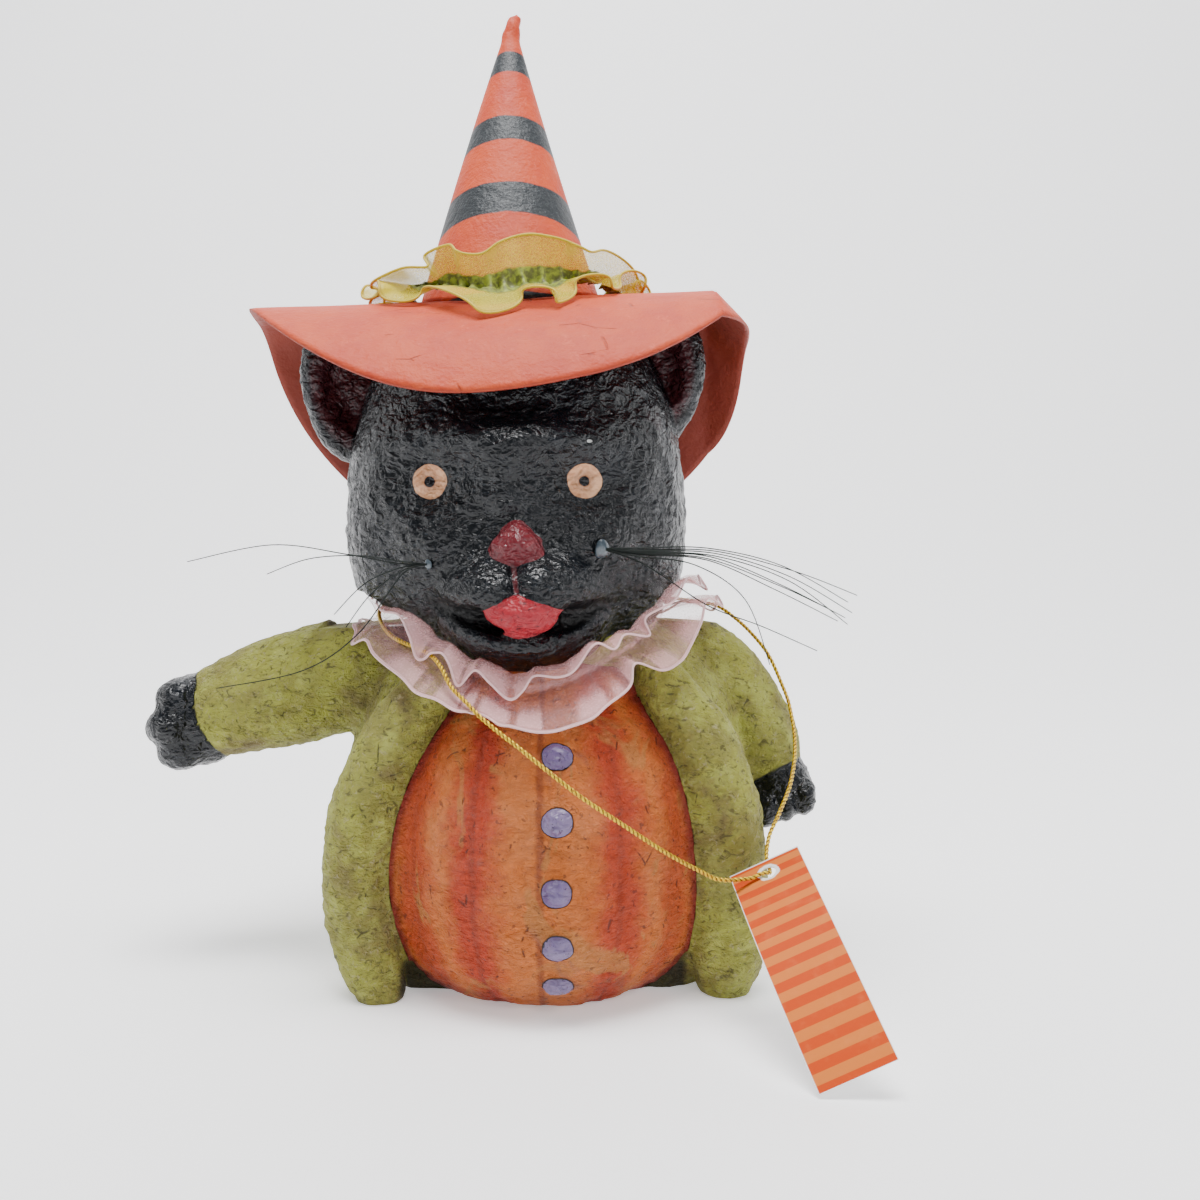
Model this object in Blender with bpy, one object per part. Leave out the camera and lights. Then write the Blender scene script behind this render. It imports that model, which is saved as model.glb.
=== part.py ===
"""Papier-mache cat with a pumpkin belly, an open coat and a pointed paper hat.

Metres, +Z up. The cat stands on z = 0 and looks along -Y. The origin is on the floor, under its belly.
"""
import math

import bmesh
import bpy
import numpy as np
from mathutils import Euler, Matrix, Vector
from mathutils.bvhtree import BVHTree

# Driving dimensions of the figure. Its forms are written in units of a 225th of its height.
FIGURE_HEIGHT = 0.225
UNIT = FIGURE_HEIGHT / 225.0
FIGURE_VOXEL = 1.9 * UNIT
HEAD_VOXEL = 1.3 * UNIT
FIGURE_FACE_SHARE = 0.0345

# Hat: card discs and cones, with the seat on the crown of the head.
CARD_THICKNESS = 0.0013
BRIM_RADIUS = 0.0955
BRIM_HOLE_RADIUS = 0.0240
BRIM_FRONT_BEND = 0.0750
BRIM_BACK_BEND = 0.0300
BRIM_BACK_FLAT = 0.0320
BRIM_END_BEND = 0.0150
BRIM_FOLD_FROM = 0.0740
BRIM_FOLD_ANGLE = math.radians(50)
BRIM_STEEPEST = math.radians(68)
CONE_RADIUS = 0.0345
CONE_HEIGHT = 0.1225
CONE_TIP_LEAN = 0.0035
HAT_SEAT = (-14.5 * UNIT, 18.0 * UNIT, 238.8 * UNIT)
HAT_TILT_BACK = math.radians(12)
HAT_ROLL = math.radians(2.2)
FIT_GAP = 0.0003

# Ribbons: organza gathered on a thread.
RIBBON_THICKNESS = 0.0008
HAT_RIBBON_UPPER = 0.0180
HAT_RIBBON_LOWER = 0.0135
HAT_RIBBON_WAVES = 11
COLLAR_RADIUS_X = 0.0465
COLLAR_RADIUS_Y = 0.0490
COLLAR_UPPER = 0.0125
COLLAR_LOWER = 0.0200
COLLAR_WAVES = 13
RIBBON_CLEARANCE = 0.0013

# Whiskers, cord and tag.
WHISKER_RADIUS = 0.00035
GLUE_DROP_RADIUS = 0.0026
CORD_DIAMETER = 0.0014
TAG_WIDTH = 0.0245
TAG_LENGTH = 0.0810
TAG_THICKNESS = 0.0006
TAG_HOLE_RADIUS = 0.0026
TAG_HOLE_INSET = 0.0060
TAG_BEND = 0.0070

BLACK = (0.030, 0.034, 0.040, 1.0)
HAT_ORANGE = (0.62, 0.13, 0.07, 1.0)
YELLOW = (0.62, 0.50, 0.06, 1.0)
PINK = (0.72, 0.42, 0.42, 1.0)
GOLD = (0.70, 0.42, 0.05, 1.0)
TAG_ORANGE = (0.85, 0.16, 0.03, 1.0)


# Scene, materials and mesh helpers.
def clear_scene():
    for obj in list(bpy.data.objects):
        bpy.data.objects.remove(obj, do_unlink=True)


def make_material(name, colour, roughness, metallic=0.0):
    material = bpy.data.materials.new(name)
    material.use_nodes = True
    shader = material.node_tree.nodes["Principled BSDF"]
    shader.inputs["Base Color"].default_value = colour
    shader.inputs["Roughness"].default_value = roughness
    shader.inputs["Metallic"].default_value = metallic
    return material


def add_object(name, verts, faces, material=None):
    mesh = bpy.data.meshes.new(name)
    mesh.from_pydata([tuple(v) for v in verts], [], faces)
    mesh.validate()
    mesh.update()
    if material:
        mesh.materials.append(material)
    obj = bpy.data.objects.new(name, mesh)
    bpy.context.scene.collection.objects.link(obj)
    return obj


def face_outward(obj):
    shape = bmesh.new()
    shape.from_mesh(obj.data)
    bmesh.ops.recalc_face_normals(shape, faces=shape.faces)
    shape.to_mesh(obj.data)
    shape.free()


def evaluated_copy(obj):
    graph = bpy.context.evaluated_depsgraph_get()
    graph.update()
    return bpy.data.meshes.new_from_object(obj.evaluated_get(graph), depsgraph=graph)


def evaluated_tree(obj):
    mesh = evaluated_copy(obj)
    verts = [obj.matrix_world @ v.co for v in mesh.vertices]
    faces = [tuple(p.vertices) for p in mesh.polygons]
    bpy.data.meshes.remove(mesh)
    return BVHTree.FromPolygons(verts, faces)


def as_cutter(obj):
    obj.hide_render = True
    obj.display_type = "WIRE"
    return obj


def cut(obj, cutter, operation="DIFFERENCE"):
    modifier = obj.modifiers.new("cut " + cutter.name, "BOOLEAN")
    modifier.operation = operation
    modifier.solver = "EXACT"
    modifier.object = as_cutter(cutter)


def join_forms(name, forms, material=None):
    verts, faces = [], []
    for form_verts, form_faces in forms:
        start = len(verts)
        verts.extend(form_verts)
        faces.extend([tuple(start + i for i in face) for face in form_faces])
    return add_object(name, verts, faces, material)


def coordinates(mesh):
    flat = np.empty(len(mesh.vertices) * 3)
    mesh.vertices.foreach_get("co", flat)
    return flat.reshape(-1, 3)


def hill(offset, width):
    return np.exp(-(offset / width) ** 2)


def ramp(value, low, high):
    t = np.clip((value - low) / (high - low), 0.0, 1.0)
    return t * t * (3.0 - 2.0 * t)


# Forms of the figure, as closed meshes that overlap and are fused by a remesh.
def sphere_directions(subdivisions):
    shape = bmesh.new()
    bmesh.ops.create_icosphere(shape, subdivisions=subdivisions, radius=1.0)
    shape.verts.ensure_lookup_table()
    directions = np.array([v.co[:] for v in shape.verts])
    faces = [tuple(v.index for v in f.verts) for f in shape.faces]
    shape.free()
    return directions, faces


def blob(centre, radii, power=2.0, below=None, behind=None, turn=(0, 0, 0), detail=4):
    """A rounded body, boxier with a higher power, with other radii below and behind its centre."""
    directions, faces = sphere_directions(detail)
    rx = np.full(len(directions), radii[0])
    ry = np.where(directions[:, 1] > 0, behind or radii[1], radii[1])
    rz = np.where(directions[:, 2] < 0, below or radii[2], radii[2])
    round_part = (directions[:, 0] / rx) ** 2 + (directions[:, 1] / ry) ** 2
    total = round_part ** (power / 2) + np.abs(directions[:, 2] / rz) ** power
    local = directions * (total ** (-1.0 / power))[:, None]
    spin = np.array(Euler([math.radians(a) for a in turn]).to_matrix())
    points = (local @ spin.T + np.array(centre)) * UNIT
    return [tuple(p) for p in points], faces


def smooth_path(points, steps):
    """Points along a smooth curve that runs through the given ones."""
    rows = [points[0]] + list(points) + [points[-1]]
    path = []
    for i in range(1, len(rows) - 2):
        a, b, c, d = (np.array(rows[i + k], float) for k in (-1, 0, 1, 2))
        for step in range(steps):
            t = step / steps
            path.append(0.5 * (2 * b + (c - a) * t + (2 * a - 5 * b + 4 * c - d) * t * t
                               + (3 * b - a - 3 * c + d) * t ** 3))
    path.append(np.array(points[-1], float))
    return path


def tube(path, radii, sides=20, round_ends=True):
    """A closed tube along the path, with domed ends."""
    path = [Vector(p) for p in path]
    radii = [float(r) for r in radii]
    rings = []
    if round_ends:
        first, last = path[0] - path[1], path[-1] - path[-2]
        for share in (0.97, 0.75, 0.4):
            rings.append((path[0] + first.normalized() * radii[0] * share, radii[0] * math.sqrt(1 - share ** 2)))
    rings.extend(zip(path, radii))
    if round_ends:
        for share in (0.4, 0.75, 0.97):
            rings.append((path[-1] + last.normalized() * radii[-1] * share, radii[-1] * math.sqrt(1 - share ** 2)))
    verts, faces = [], []
    side_axis = None
    for i, (centre, radius) in enumerate(rings):
        ahead = rings[min(i + 1, len(rings) - 1)][0] - rings[max(i - 1, 0)][0]
        ahead.normalize()
        guess = side_axis or (Vector((0, 0, 1)) if abs(ahead.z) < 0.9 else Vector((0, 1, 0)))
        side_axis = (guess - ahead * guess.dot(ahead)).normalized()
        other_axis = ahead.cross(side_axis)
        for k in range(sides):
            angle = 2 * math.pi * k / sides
            verts.append(tuple(centre + radius * (side_axis * math.cos(angle) + other_axis * math.sin(angle))))
    for i in range(len(rings) - 1):
        for k in range(sides):
            a, b = i * sides + k, i * sides + (k + 1) % sides
            faces.append((a, b, b + sides, a + sides))
    faces.append(tuple(reversed(range(sides))))
    faces.append(tuple(range((len(rings) - 1) * sides, len(rings) * sides)))
    return verts, faces


def limb(stations, steps=5, sides=24):
    """A sleeve or rolled edge: stations are x, y, z and radius in units."""
    rows = smooth_path(stations, steps)
    return tube([r[:3] * UNIT for r in rows], [r[3] * UNIT for r in rows], sides)


# Head: centre, radii and the places of the features, in units.
HEAD_CENTRE = (-11.2, -3.0, 154.5)
FACE_LEAN = 0.10


def face_middle(z):
    """x of the face's middle line, which leans a little."""
    return -11.0 + FACE_LEAN * (174.0 - z)


def head_forms():
    return [
        blob(HEAD_CENTRE, (61, 55, 90), 2.4, below=43, behind=52, detail=5),
        blob((-7, -37, 134.5), (31, 32, 21.5), 2.3, below=23, detail=5),
        blob((-8, -30, 184), (38, 30, 20), 2.0),
    ]


def ear_form(centre, radii, turn):
    """A thick cupped ear, hollowed on its front."""
    verts, faces = blob((0, 0, 0), radii, 2.2, detail=5)
    points = np.array(verts) / UNIT
    across = np.hypot(points[:, 0] / radii[0], points[:, 2] / radii[2])
    points[:, 1] += np.where(points[:, 1] < 1, 1.0, 0.0) * 8.5 * (1 - ramp(across, 0.35, 0.85))
    spin = np.array(Euler([math.radians(a) for a in turn]).to_matrix())
    points = (points @ spin.T + np.array(centre)) * UNIT
    return [tuple(p) for p in points], faces


def carve_face(points):
    """Brow, eye sockets, muzzle puffs, mouth and lower lip, pushed into the front of the head."""
    p = points / UNIT
    x, z = p[:, 0] - face_middle(p[:, 2]), p[:, 2]
    front = ramp(-p[:, 1], 14, 34)
    depth = np.zeros(len(p))
    depth += 3.2 * hill(z - 190, 5.5) * hill(x, 34)
    depth -= 2.2 * hill(z - 198, 5) * hill(x, 34)
    for side in (-25, 25):
        depth -= 3.0 * hill(np.hypot(x - side, (z - 175) * 1.2), 11)
        depth += 1.6 * hill(np.hypot(x - side * 1.1, (z - 157) * 1.3), 10)
    depth += 4.0 * hill(x, 7) * ramp(z, 158, 166) * (1 - ramp(z, 176, 190))
    for side in (-12.5, 12.5):
        depth += 3.6 * hill(np.hypot(x - side, (z - 141.5) * 1.25), 10.5)
    depth -= 2.2 * hill(x, 2.6) * ramp(z, 130, 134) * (1 - ramp(z, 147, 151))
    mouth_roof = 134.0 + 0.020 * x ** 2
    mouth = ramp(mouth_roof - z, 0, 3) * (1 - ramp(mouth_roof - z, 9, 13)) * (1 - ramp(np.abs(x), 15, 21))
    depth -= 9.0 * mouth
    depth += 2.6 * hill(z - 118.5, 4) * hill(x, 17)
    p[:, 1] -= depth * front
    return p * UNIT


EYES = ((-36.0, 174.3), (14.0, 174.5))
EYE_RADIUS = 5.8


def head_mesh():
    """Head with its features carved, before the body joins it."""
    rough = join_forms("head_form", head_forms())
    remesh = rough.modifiers.new("fuse", "REMESH")
    remesh.mode = "VOXEL"
    remesh.voxel_size = HEAD_VOXEL
    relax = rough.modifiers.new("relax", "SMOOTH")
    relax.factor = 0.5
    relax.iterations = 8
    mesh = evaluated_copy(rough)
    bpy.data.objects.remove(rough, do_unlink=True)
    points = carve_face(coordinates(mesh))
    faces = [tuple(p.vertices) for p in mesh.polygons]
    bpy.data.meshes.remove(mesh)
    return [tuple(p) for p in points], faces


def front_of(tree, x, z):
    """y where a look from the front meets the surface, in units."""
    hit = tree.ray_cast(Vector((x * UNIT, -1.0, z * UNIT)), Vector((0, 1, 0)))[0]
    return hit.y / UNIT


def face_details(tree):
    forms = []
    for x, z in EYES:
        forms.append(blob((x, front_of(tree, x, z) + 0.3, z), (EYE_RADIUS, 1.7, EYE_RADIUS), 2.6))
    nose_x, nose_z = -7.0, 154.5
    nose_y = front_of(tree, nose_x, nose_z - 3)
    verts, faces = blob((0, 0, 0), (9.2, 7.0, 7.8), 2.0)
    nose = np.array(verts) / UNIT
    nose[:, 0] *= 1.0 - 0.35 * ramp(nose[:, 2], 0, 8) - 0.35 * ramp(-nose[:, 2], 1, 8)
    nose += np.array((nose_x, nose_y - 1.5, nose_z))
    forms.append(([tuple(v) for v in nose * UNIT], faces))
    tongue_y = front_of(tree, -4.0, 141) + 5.5
    forms.append(blob((-5.4, tongue_y, 129.6), (11.6, 7.5, 5.2), 2.2, turn=(16, 0, 0)))
    return forms


# Body: pumpkin belly, coat, sleeves and paws, in units.
BELLY_CENTRE = (0.0, -4.0, 50.0)
BELLY_RIBS = (-64, -37, -17.5, 0, 21, 40, 64)


def belly_form():
    """The pumpkin, with a groove down each seam between its ribs."""
    verts, faces = blob(BELLY_CENTRE, (66, 74.5, 61), 2.5, detail=5)
    points = np.array(verts) / UNIT
    away = points - np.array(BELLY_CENTRE)
    angle = np.degrees(np.arctan2(away[:, 0], -away[:, 1]))
    groove = sum(hill(angle - rib, 5.0) for rib in BELLY_RIBS)
    sink = 1.9 * groove * (0.35 + 0.65 * hill(away[:, 2], 48))
    points[:, :2] -= (away[:, :2] / np.hypot(away[:, 0], away[:, 1])[:, None].clip(1.0)) * sink[:, None]
    return [tuple(p) for p in points * UNIT], faces


def coat_form():
    """The coat round the sides and back, drawn in over the front where the belly shows."""
    centre = (0.0, 3.0, 50.0)
    verts, faces = blob(centre, (76.5, 66, 79), 2.7, detail=5)
    points = np.array(verts) / UNIT
    away = points - np.array(centre)
    angle = np.degrees(np.arctan2(away[:, 0], -away[:, 1]))
    opening = 1 - ramp(np.abs(angle - 1), 30, 52)
    folds = 1.3 * np.sin(np.radians(angle * 7 + 30)) * ramp(np.abs(angle), 60, 85) * ramp(-away[:, 2], -45, 20)
    waist = 2.5 * hill(away[:, 2] - 34, 12) * ramp(np.abs(angle), 40, 70)
    scale = 1 - 0.20 * opening + (folds - waist) / 70.0
    points[:, :2] = np.array(centre[:2]) + away[:, :2] * scale[:, None]
    return [tuple(p) for p in points * UNIT], faces


def coat_edges():
    """The rolled front edges of the coat, from under the collar to the hems on the floor."""
    left = [(-36, -40, 109, 8), (-42, -46.5, 100, 9.5), (-51, -50, 86, 10.8), (-59.5, -49.5, 65, 11.5),
            (-63, -46, 44, 12), (-61.5, -44.5, 24, 12), (-57.5, -46.5, 8, 10.5), (-56, -47, 4, 9)]
    right = [(39, -38, 109, 8), (45, -43.5, 100, 9.5), (54, -46.5, 86, 11.2), (60, -46, 65, 12.5),
             (62.5, -43, 44, 13.5), (63, -40.5, 24, 13.5), (62.5, -40, 10, 12), (62, -40, 5, 10)]
    return [limb(left), limb(right)]


def shoulders_and_sleeves():
    left_arm = [(-34, 6, 98, 23), (-52, 4, 102.5, 23.5), (-68, 2, 105, 23), (-80, 1, 103, 20.8),
                (-92, 0, 99.8, 20.5), (-105, 0, 96, 19.6), (-117, 0, 92, 17.6)]
    right_arm = [(36, 8, 100, 23), (50, 8, 103.5, 22), (61, 8, 100.5, 19), (70, 7, 92, 17), (77, 6, 82, 15.5),
                 (80, 5, 76, 14.5)]
    return [limb(left_arm), limb(right_arm), blob((0, -2, 112), (42, 40, 20), 2.2),
            blob((0, -15, 97), (38, 41, 20), 2.3)]


def paw_forms():
    forms = [blob((-130, 0, 87.5), (15.5, 15, 17), 2.3, turn=(0, -14, 0)),
             blob((86.5, 3, 63.5), (11, 12, 13), 2.3, turn=(0, -28, 0))]
    for lift, push in ((11, -2), (0, -5), (-11, -1)):
        forms.append(blob((-139 + abs(lift) * 0.28, push - 3, 87 + lift), (8, 10, 6.6), 2.0, turn=(0, -14, 0)))
    for shift in (-6, 1, 8):
        forms.append(blob((86.5 + shift, -4, 57 + shift * 0.35), (4.3, 7.5, 7), 2.0))
    return forms


BUTTON_X = 5.5
BUTTON_HEIGHTS = (102.0, 86.5, 67.0, 45.0, 26.5, 11.5)


def button_forms(tree):
    forms = []
    for z in BUTTON_HEIGHTS:
        hit, normal = tree.ray_cast(Vector((BUTTON_X * UNIT, -1.0, z * UNIT)), Vector((0, 1, 0)))[:2]
        tilt = math.degrees(math.asin(max(-1.0, min(1.0, normal.z))))
        centre = (BUTTON_X, hit.y / UNIT - 0.6, z)
        forms.append(blob(centre, (5.0, 2.8, 4.6), 2.4, turn=(-tilt, 0, 0)))
    return forms


def tree_of(verts, faces):
    return BVHTree.FromPolygons([Vector(v) for v in verts], faces)


def build_figure(material):
    head = head_mesh()
    belly = belly_form()
    ears = [ear_form((-68.5, 1, 209), (21, 11, 28), (0, -14, 12)),
            ear_form((36.5, -1, 213), (20, 11, 27), (0, 12, -8))]
    forms = [head, belly, coat_form()] + ears + face_details(tree_of(*head)) + coat_edges()
    forms += shoulders_and_sleeves() + paw_forms() + button_forms(tree_of(*belly))
    figure = join_forms("cat_figure", forms, material)
    remesh = figure.modifiers.new("fuse", "REMESH")
    remesh.mode = "VOXEL"
    remesh.voxel_size = FIGURE_VOXEL
    relax = figure.modifiers.new("relax", "SMOOTH")
    relax.factor = 0.5
    relax.iterations = 3
    thin = figure.modifiers.new("facets", "DECIMATE")
    thin.ratio = FIGURE_FACE_SHARE
    reach = 1.4 * FIGURE_HEIGHT
    floor_box = add_object("floor_cutter", *box_form((-reach, -reach, -reach), (reach, reach, 0.0)))
    cut(figure, floor_box)
    cut(figure, brim_block("crown_cutter", -CARD_THICKNESS / 2 - FIT_GAP, CUTTER_DEPTH, BRIM_RINGS))
    cut(figure, collar_groove())
    return figure


def box_form(low, high):
    corners = [(x, y, z) for z in (low[2], high[2]) for y in (low[1], high[1]) for x in (low[0], high[0])]
    faces = [(0, 2, 3, 1), (4, 5, 7, 6), (0, 1, 5, 4), (2, 6, 7, 3), (0, 4, 6, 2), (1, 3, 7, 5)]
    return corners, faces


# Hat, in its own frame: z runs up the cone, and the brim's ridge passes through the origin.
def hat_matrix():
    return Matrix.Translation(HAT_SEAT) @ Euler((-HAT_TILT_BACK, -HAT_ROLL, 0)).to_matrix().to_4x4()


def bend_profile(u, w):
    """How far a strip of length w reaches, and drops, as it bends over and then runs straight.

    Behind, the card lies flat under the cone, rounds the head, and folds sharply towards its two ends.
    """
    radius, flat = BRIM_FRONT_BEND, 0.0
    if w > 0:
        towards_end = float(ramp(abs(u) / BRIM_RADIUS, 0.32, 0.65))
        radius = BRIM_BACK_BEND + (BRIM_END_BEND - BRIM_BACK_BEND) * towards_end
        flat = min(abs(w), BRIM_BACK_FLAT * (1 - towards_end))
    curved = min(abs(w) - flat, radius * BRIM_STEEPEST)
    straight = abs(w) - flat - curved
    reach = flat + radius * math.sin(curved / radius) + straight * math.cos(BRIM_STEEPEST)
    drop = radius * (1 - math.cos(curved / radius)) + straight * math.sin(BRIM_STEEPEST)
    return reach, drop


def brim_point(u, w, lift=0.0):
    """Where the point u, w of the flat disc lies once the brim is bent, lifted off its middle surface."""
    def bent(a, b):
        reach, drop = bend_profile(a, b)
        past = max(0.0, a - BRIM_FOLD_FROM)
        start = a - past
        dip = past * math.sin(BRIM_FOLD_ANGLE)
        wave = 0.0016 * math.sin(a / BRIM_RADIUS * 5.1 + 0.6) * (b / BRIM_RADIUS) ** 2
        return Vector((start + past * math.cos(BRIM_FOLD_ANGLE), math.copysign(reach, b), wave - drop - dip))
    here = bent(u, w)
    if lift:
        step = 0.0004
        normal = (bent(u + step, w) - bent(u - step, w)).cross(bent(u, w + step) - bent(u, w - step))
        here = here + normal.normalized() * lift
    return here


def polar_rows(shares, sectors):
    """Rings of flat points between the hole, at 0, and the cut edge, at 1."""
    rows = []
    for share in shares:
        row = []
        for k in range(sectors):
            angle = 2 * math.pi * k / sectors
            radius = BRIM_HOLE_RADIUS + (BRIM_RADIUS - BRIM_HOLE_RADIUS) * share
            row.append((radius * math.cos(angle), radius * math.sin(angle)))
        rows.append(row)
    return rows


def ring_faces(rows, sectors, start=0):
    faces = []
    for i in range(rows - 1):
        for k in range(sectors):
            a, b = start + i * sectors + k, start + i * sectors + (k + 1) % sectors
            faces.append((a, a + sectors, b + sectors, b))
    return faces


BRIM_SECTORS = 40
BRIM_RINGS = 6
CONE_CUTTER_RINGS = 3
CUTTER_DEPTH = 0.5 * BRIM_RADIUS


def build_brim(material):
    """The disc as a shell: its upper sheet outward, then its lower sheet back to the hole."""
    shares = [i / BRIM_RINGS for i in range(BRIM_RINGS + 1)]
    verts = []
    for lift, order in ((CARD_THICKNESS / 2, shares), (-CARD_THICKNESS / 2, shares[::-1])):
        for row in polar_rows(order, BRIM_SECTORS):
            verts.extend(brim_point(u, w, lift) for u, w in row)
    rows = 2 * len(shares)
    faces = ring_faces(rows, BRIM_SECTORS)
    last = (rows - 1) * BRIM_SECTORS
    for k in range(BRIM_SECTORS):
        after = (k + 1) % BRIM_SECTORS
        faces.append((last + k, k, after, last + after))
    brim = add_object("hat_brim", verts, faces, material)
    brim.matrix_world = hat_matrix()
    return brim


def brim_block(name, lift, thickness, rings):
    """A thick block whose one face follows that many rings of the brim, lifted off its middle surface."""
    centre_share = -BRIM_HOLE_RADIUS / (BRIM_RADIUS - BRIM_HOLE_RADIUS)
    rows = polar_rows([centre_share * share for share in (0.96, 0.5)], BRIM_SECTORS)
    rows += polar_rows([0.98 * i / BRIM_RINGS for i in range(rings + 1)], BRIM_SECTORS)
    near = [brim_point(u, w, lift) for row in rows for u, w in row]
    far = [point + Vector((0, 0, thickness)) for point in near]
    start = len(near)
    faces = ring_faces(len(rows), BRIM_SECTORS) + ring_faces(len(rows), BRIM_SECTORS, start)
    faces.append(tuple(range(BRIM_SECTORS)))
    faces.append(tuple(start + k for k in range(BRIM_SECTORS)))
    rim, far_rim = start - BRIM_SECTORS, 2 * start - BRIM_SECTORS
    for k in range(BRIM_SECTORS):
        after = (k + 1) % BRIM_SECTORS
        faces.append((rim + k, rim + after, far_rim + after, far_rim + k))
    block = add_object(name, near + far, faces)
    face_outward(block)
    block.matrix_world = hat_matrix()
    return block


def cone_radius(height):
    """Outer radius of the cone at a height above the brim's ridge."""
    share = 1 - height / CONE_HEIGHT
    return CONE_RADIUS * max(share, 0.0)


def cone_axis(height):
    """The tip leans and crooks a little."""
    share = max(0.0, height / CONE_HEIGHT)
    crook = max(0.0, share - 0.9) / 0.1
    return CONE_TIP_LEAN * share ** 2 + 0.0016 * crook ** 2


def brim_top(x, y):
    """Height of the brim's upper face over a point of the hat's frame, near the cone."""
    w = y
    for _ in range(30):
        reach = bend_profile(x, w)[0]
        w += y - math.copysign(reach, w)
    return brim_point(x, w, CARD_THICKNESS / 2).z


def cone_foot_radius(angle):
    """Radius of the cone where it meets the bent brim, at an angle round it."""
    radius = CONE_RADIUS
    for _ in range(6):
        radius = cone_radius(brim_top(radius * math.cos(angle), radius * math.sin(angle)))
    return radius


def build_cone(material):
    """A rolled card cone, hollow, with its foot trimmed to sit on the bent brim."""
    sectors = 26
    heights = [CONE_HEIGHT * s for s in (-0.25, 0.0, 0.22, 0.45, 0.65, 0.82, 0.91, 0.96, 0.99)]
    verts = []

    def ring(height, inset):
        radius = cone_radius(height) - inset
        for k in range(sectors):
            angle = 2 * math.pi * k / sectors
            verts.append((cone_axis(height) + radius * math.cos(angle), radius * math.sin(angle), height))
    inner = [h for h in heights if cone_radius(h) > 2.2 * CARD_THICKNESS]
    for height in reversed(inner):
        ring(height, CARD_THICKNESS)
    for height in heights:
        ring(height, 0.0)
    rows = len(inner) + len(heights)
    faces = [tuple(reversed(f)) for f in ring_faces(rows, sectors)]
    faces.append(tuple(reversed(range(sectors))))
    faces.append(tuple((rows - 1) * sectors + k for k in range(sectors)))
    cone = add_object("hat_cone", verts, faces, material)
    face_outward(cone)
    cone.matrix_world = hat_matrix()
    cut(cone, brim_block("cone_foot_cutter", CARD_THICKNESS / 2 + FIT_GAP, -CUTTER_DEPTH, CONE_CUTTER_RINGS))
    return cone


# Tag and gold cord. The tag's own directions run down the card, across it and out of its front.
TAG_TOP = Vector((0.0729, -0.0575, 0.0495))
TAG_FOOT = Vector((0.0915, -0.1235, 0.0066))
TAG_ACROSS = Vector((0.0215, 0.0000, 0.0105))


def tag_place(side, down, lift=0.0):
    """A point of the bent card, lifted off its front."""
    fall = (TAG_FOOT - TAG_TOP).normalized()
    across = (TAG_ACROSS - fall * TAG_ACROSS.dot(fall)).normalized()
    front = fall.cross(across)
    bulge = TAG_BEND * math.sin(math.pi * max(0.0, down) / TAG_LENGTH)
    return TAG_TOP + fall * down + across * side + front * (bulge + lift)


# The cord comes to the hole in front of the card, goes through it, and rises behind the card's top edge.
TAG_THREADING = (
    (-0.0065, TAG_HOLE_INSET + 0.0006, 0.0021), (-0.0025, TAG_HOLE_INSET + 0.0004, 0.0015),
    (0.0, TAG_HOLE_INSET, 0.0), (0.0005, TAG_HOLE_INSET - 0.0015, -0.0016),
    (0.0010, 0.0010, -0.0021), (0.0016, -0.0030, -0.0016),
)
# From the knot at the nape round the neck, across the belly, through the tag and back.
CORD_ROUTE = [
    (0.0010, 0.0540, 0.1306), (-0.0275, 0.0485, 0.1306), (-0.0490, 0.0310, 0.1306), (-0.0590, 0.0060, 0.1302),
    (-0.0595, -0.0180, 0.1282), (-0.0520, -0.0375, 0.1222), (-0.0385, -0.0530, 0.1185), (-0.0327, -0.0625, 0.1154),
    (-0.0283, -0.0680, 0.1089), (-0.0234, -0.0715, 0.1047), (-0.0187, -0.0740, 0.1004), (-0.0122, -0.0765, 0.0955),
    (-0.0062, -0.0785, 0.0913), (0.0008, -0.0805, 0.0860), (0.0131, -0.0815, 0.0765), (0.0262, -0.0790, 0.0671),
    (0.0396, -0.0745, 0.0572), (0.0504, -0.0700, 0.0502), (0.0575, -0.0678, 0.0465),
] + [tag_place(*place)[:] for place in TAG_THREADING] + [
    (0.0760, -0.0480, 0.0560), (0.0800, -0.0420, 0.0620),
    (0.0854, -0.0320, 0.0710), (0.0885, -0.0200, 0.0818), (0.0880, -0.0100, 0.0936), (0.0855, -0.0040, 0.1020),
    (0.0815, 0.0020, 0.1115), (0.0762, 0.0080, 0.1185), (0.0704, 0.0140, 0.1240), (0.0633, 0.0200, 0.1285),
    (0.0520, 0.0300, 0.1300), (0.0390, 0.0420, 0.1304), (0.0210, 0.0510, 0.1306), (0.0040, 0.0540, 0.1306),
]
CORD_PATH = [Vector(p) for p in smooth_path(CORD_ROUTE, 2)[:-1]]
CORD_FINE_PATH = [Vector(p) for p in smooth_path(CORD_ROUTE, 6)]


# Ribbons: a gathered band with a frill on each side of its thread.
def ribbon_shell(name, rows, material):
    """Rows of points round a ring, thickened into a closed band."""
    sectors = len(rows[0])
    verts = [p for row in rows for p in row]
    band = add_object(name, verts, ring_faces(len(rows), sectors), material)
    thick = band.modifiers.new("thickness", "SOLIDIFY")
    thick.thickness = RIBBON_THICKNESS
    thick.offset = 0.0
    return band


def frill_wave(angle, waves, seed):
    """Uneven folds of a gathered ribbon, between -1 and 1."""
    return math.sin(waves * angle + 1.1 * math.sin(2 * angle + seed) + seed) * 0.8 + \
        0.2 * math.sin((2 * waves + 1) * angle + seed)


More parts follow.
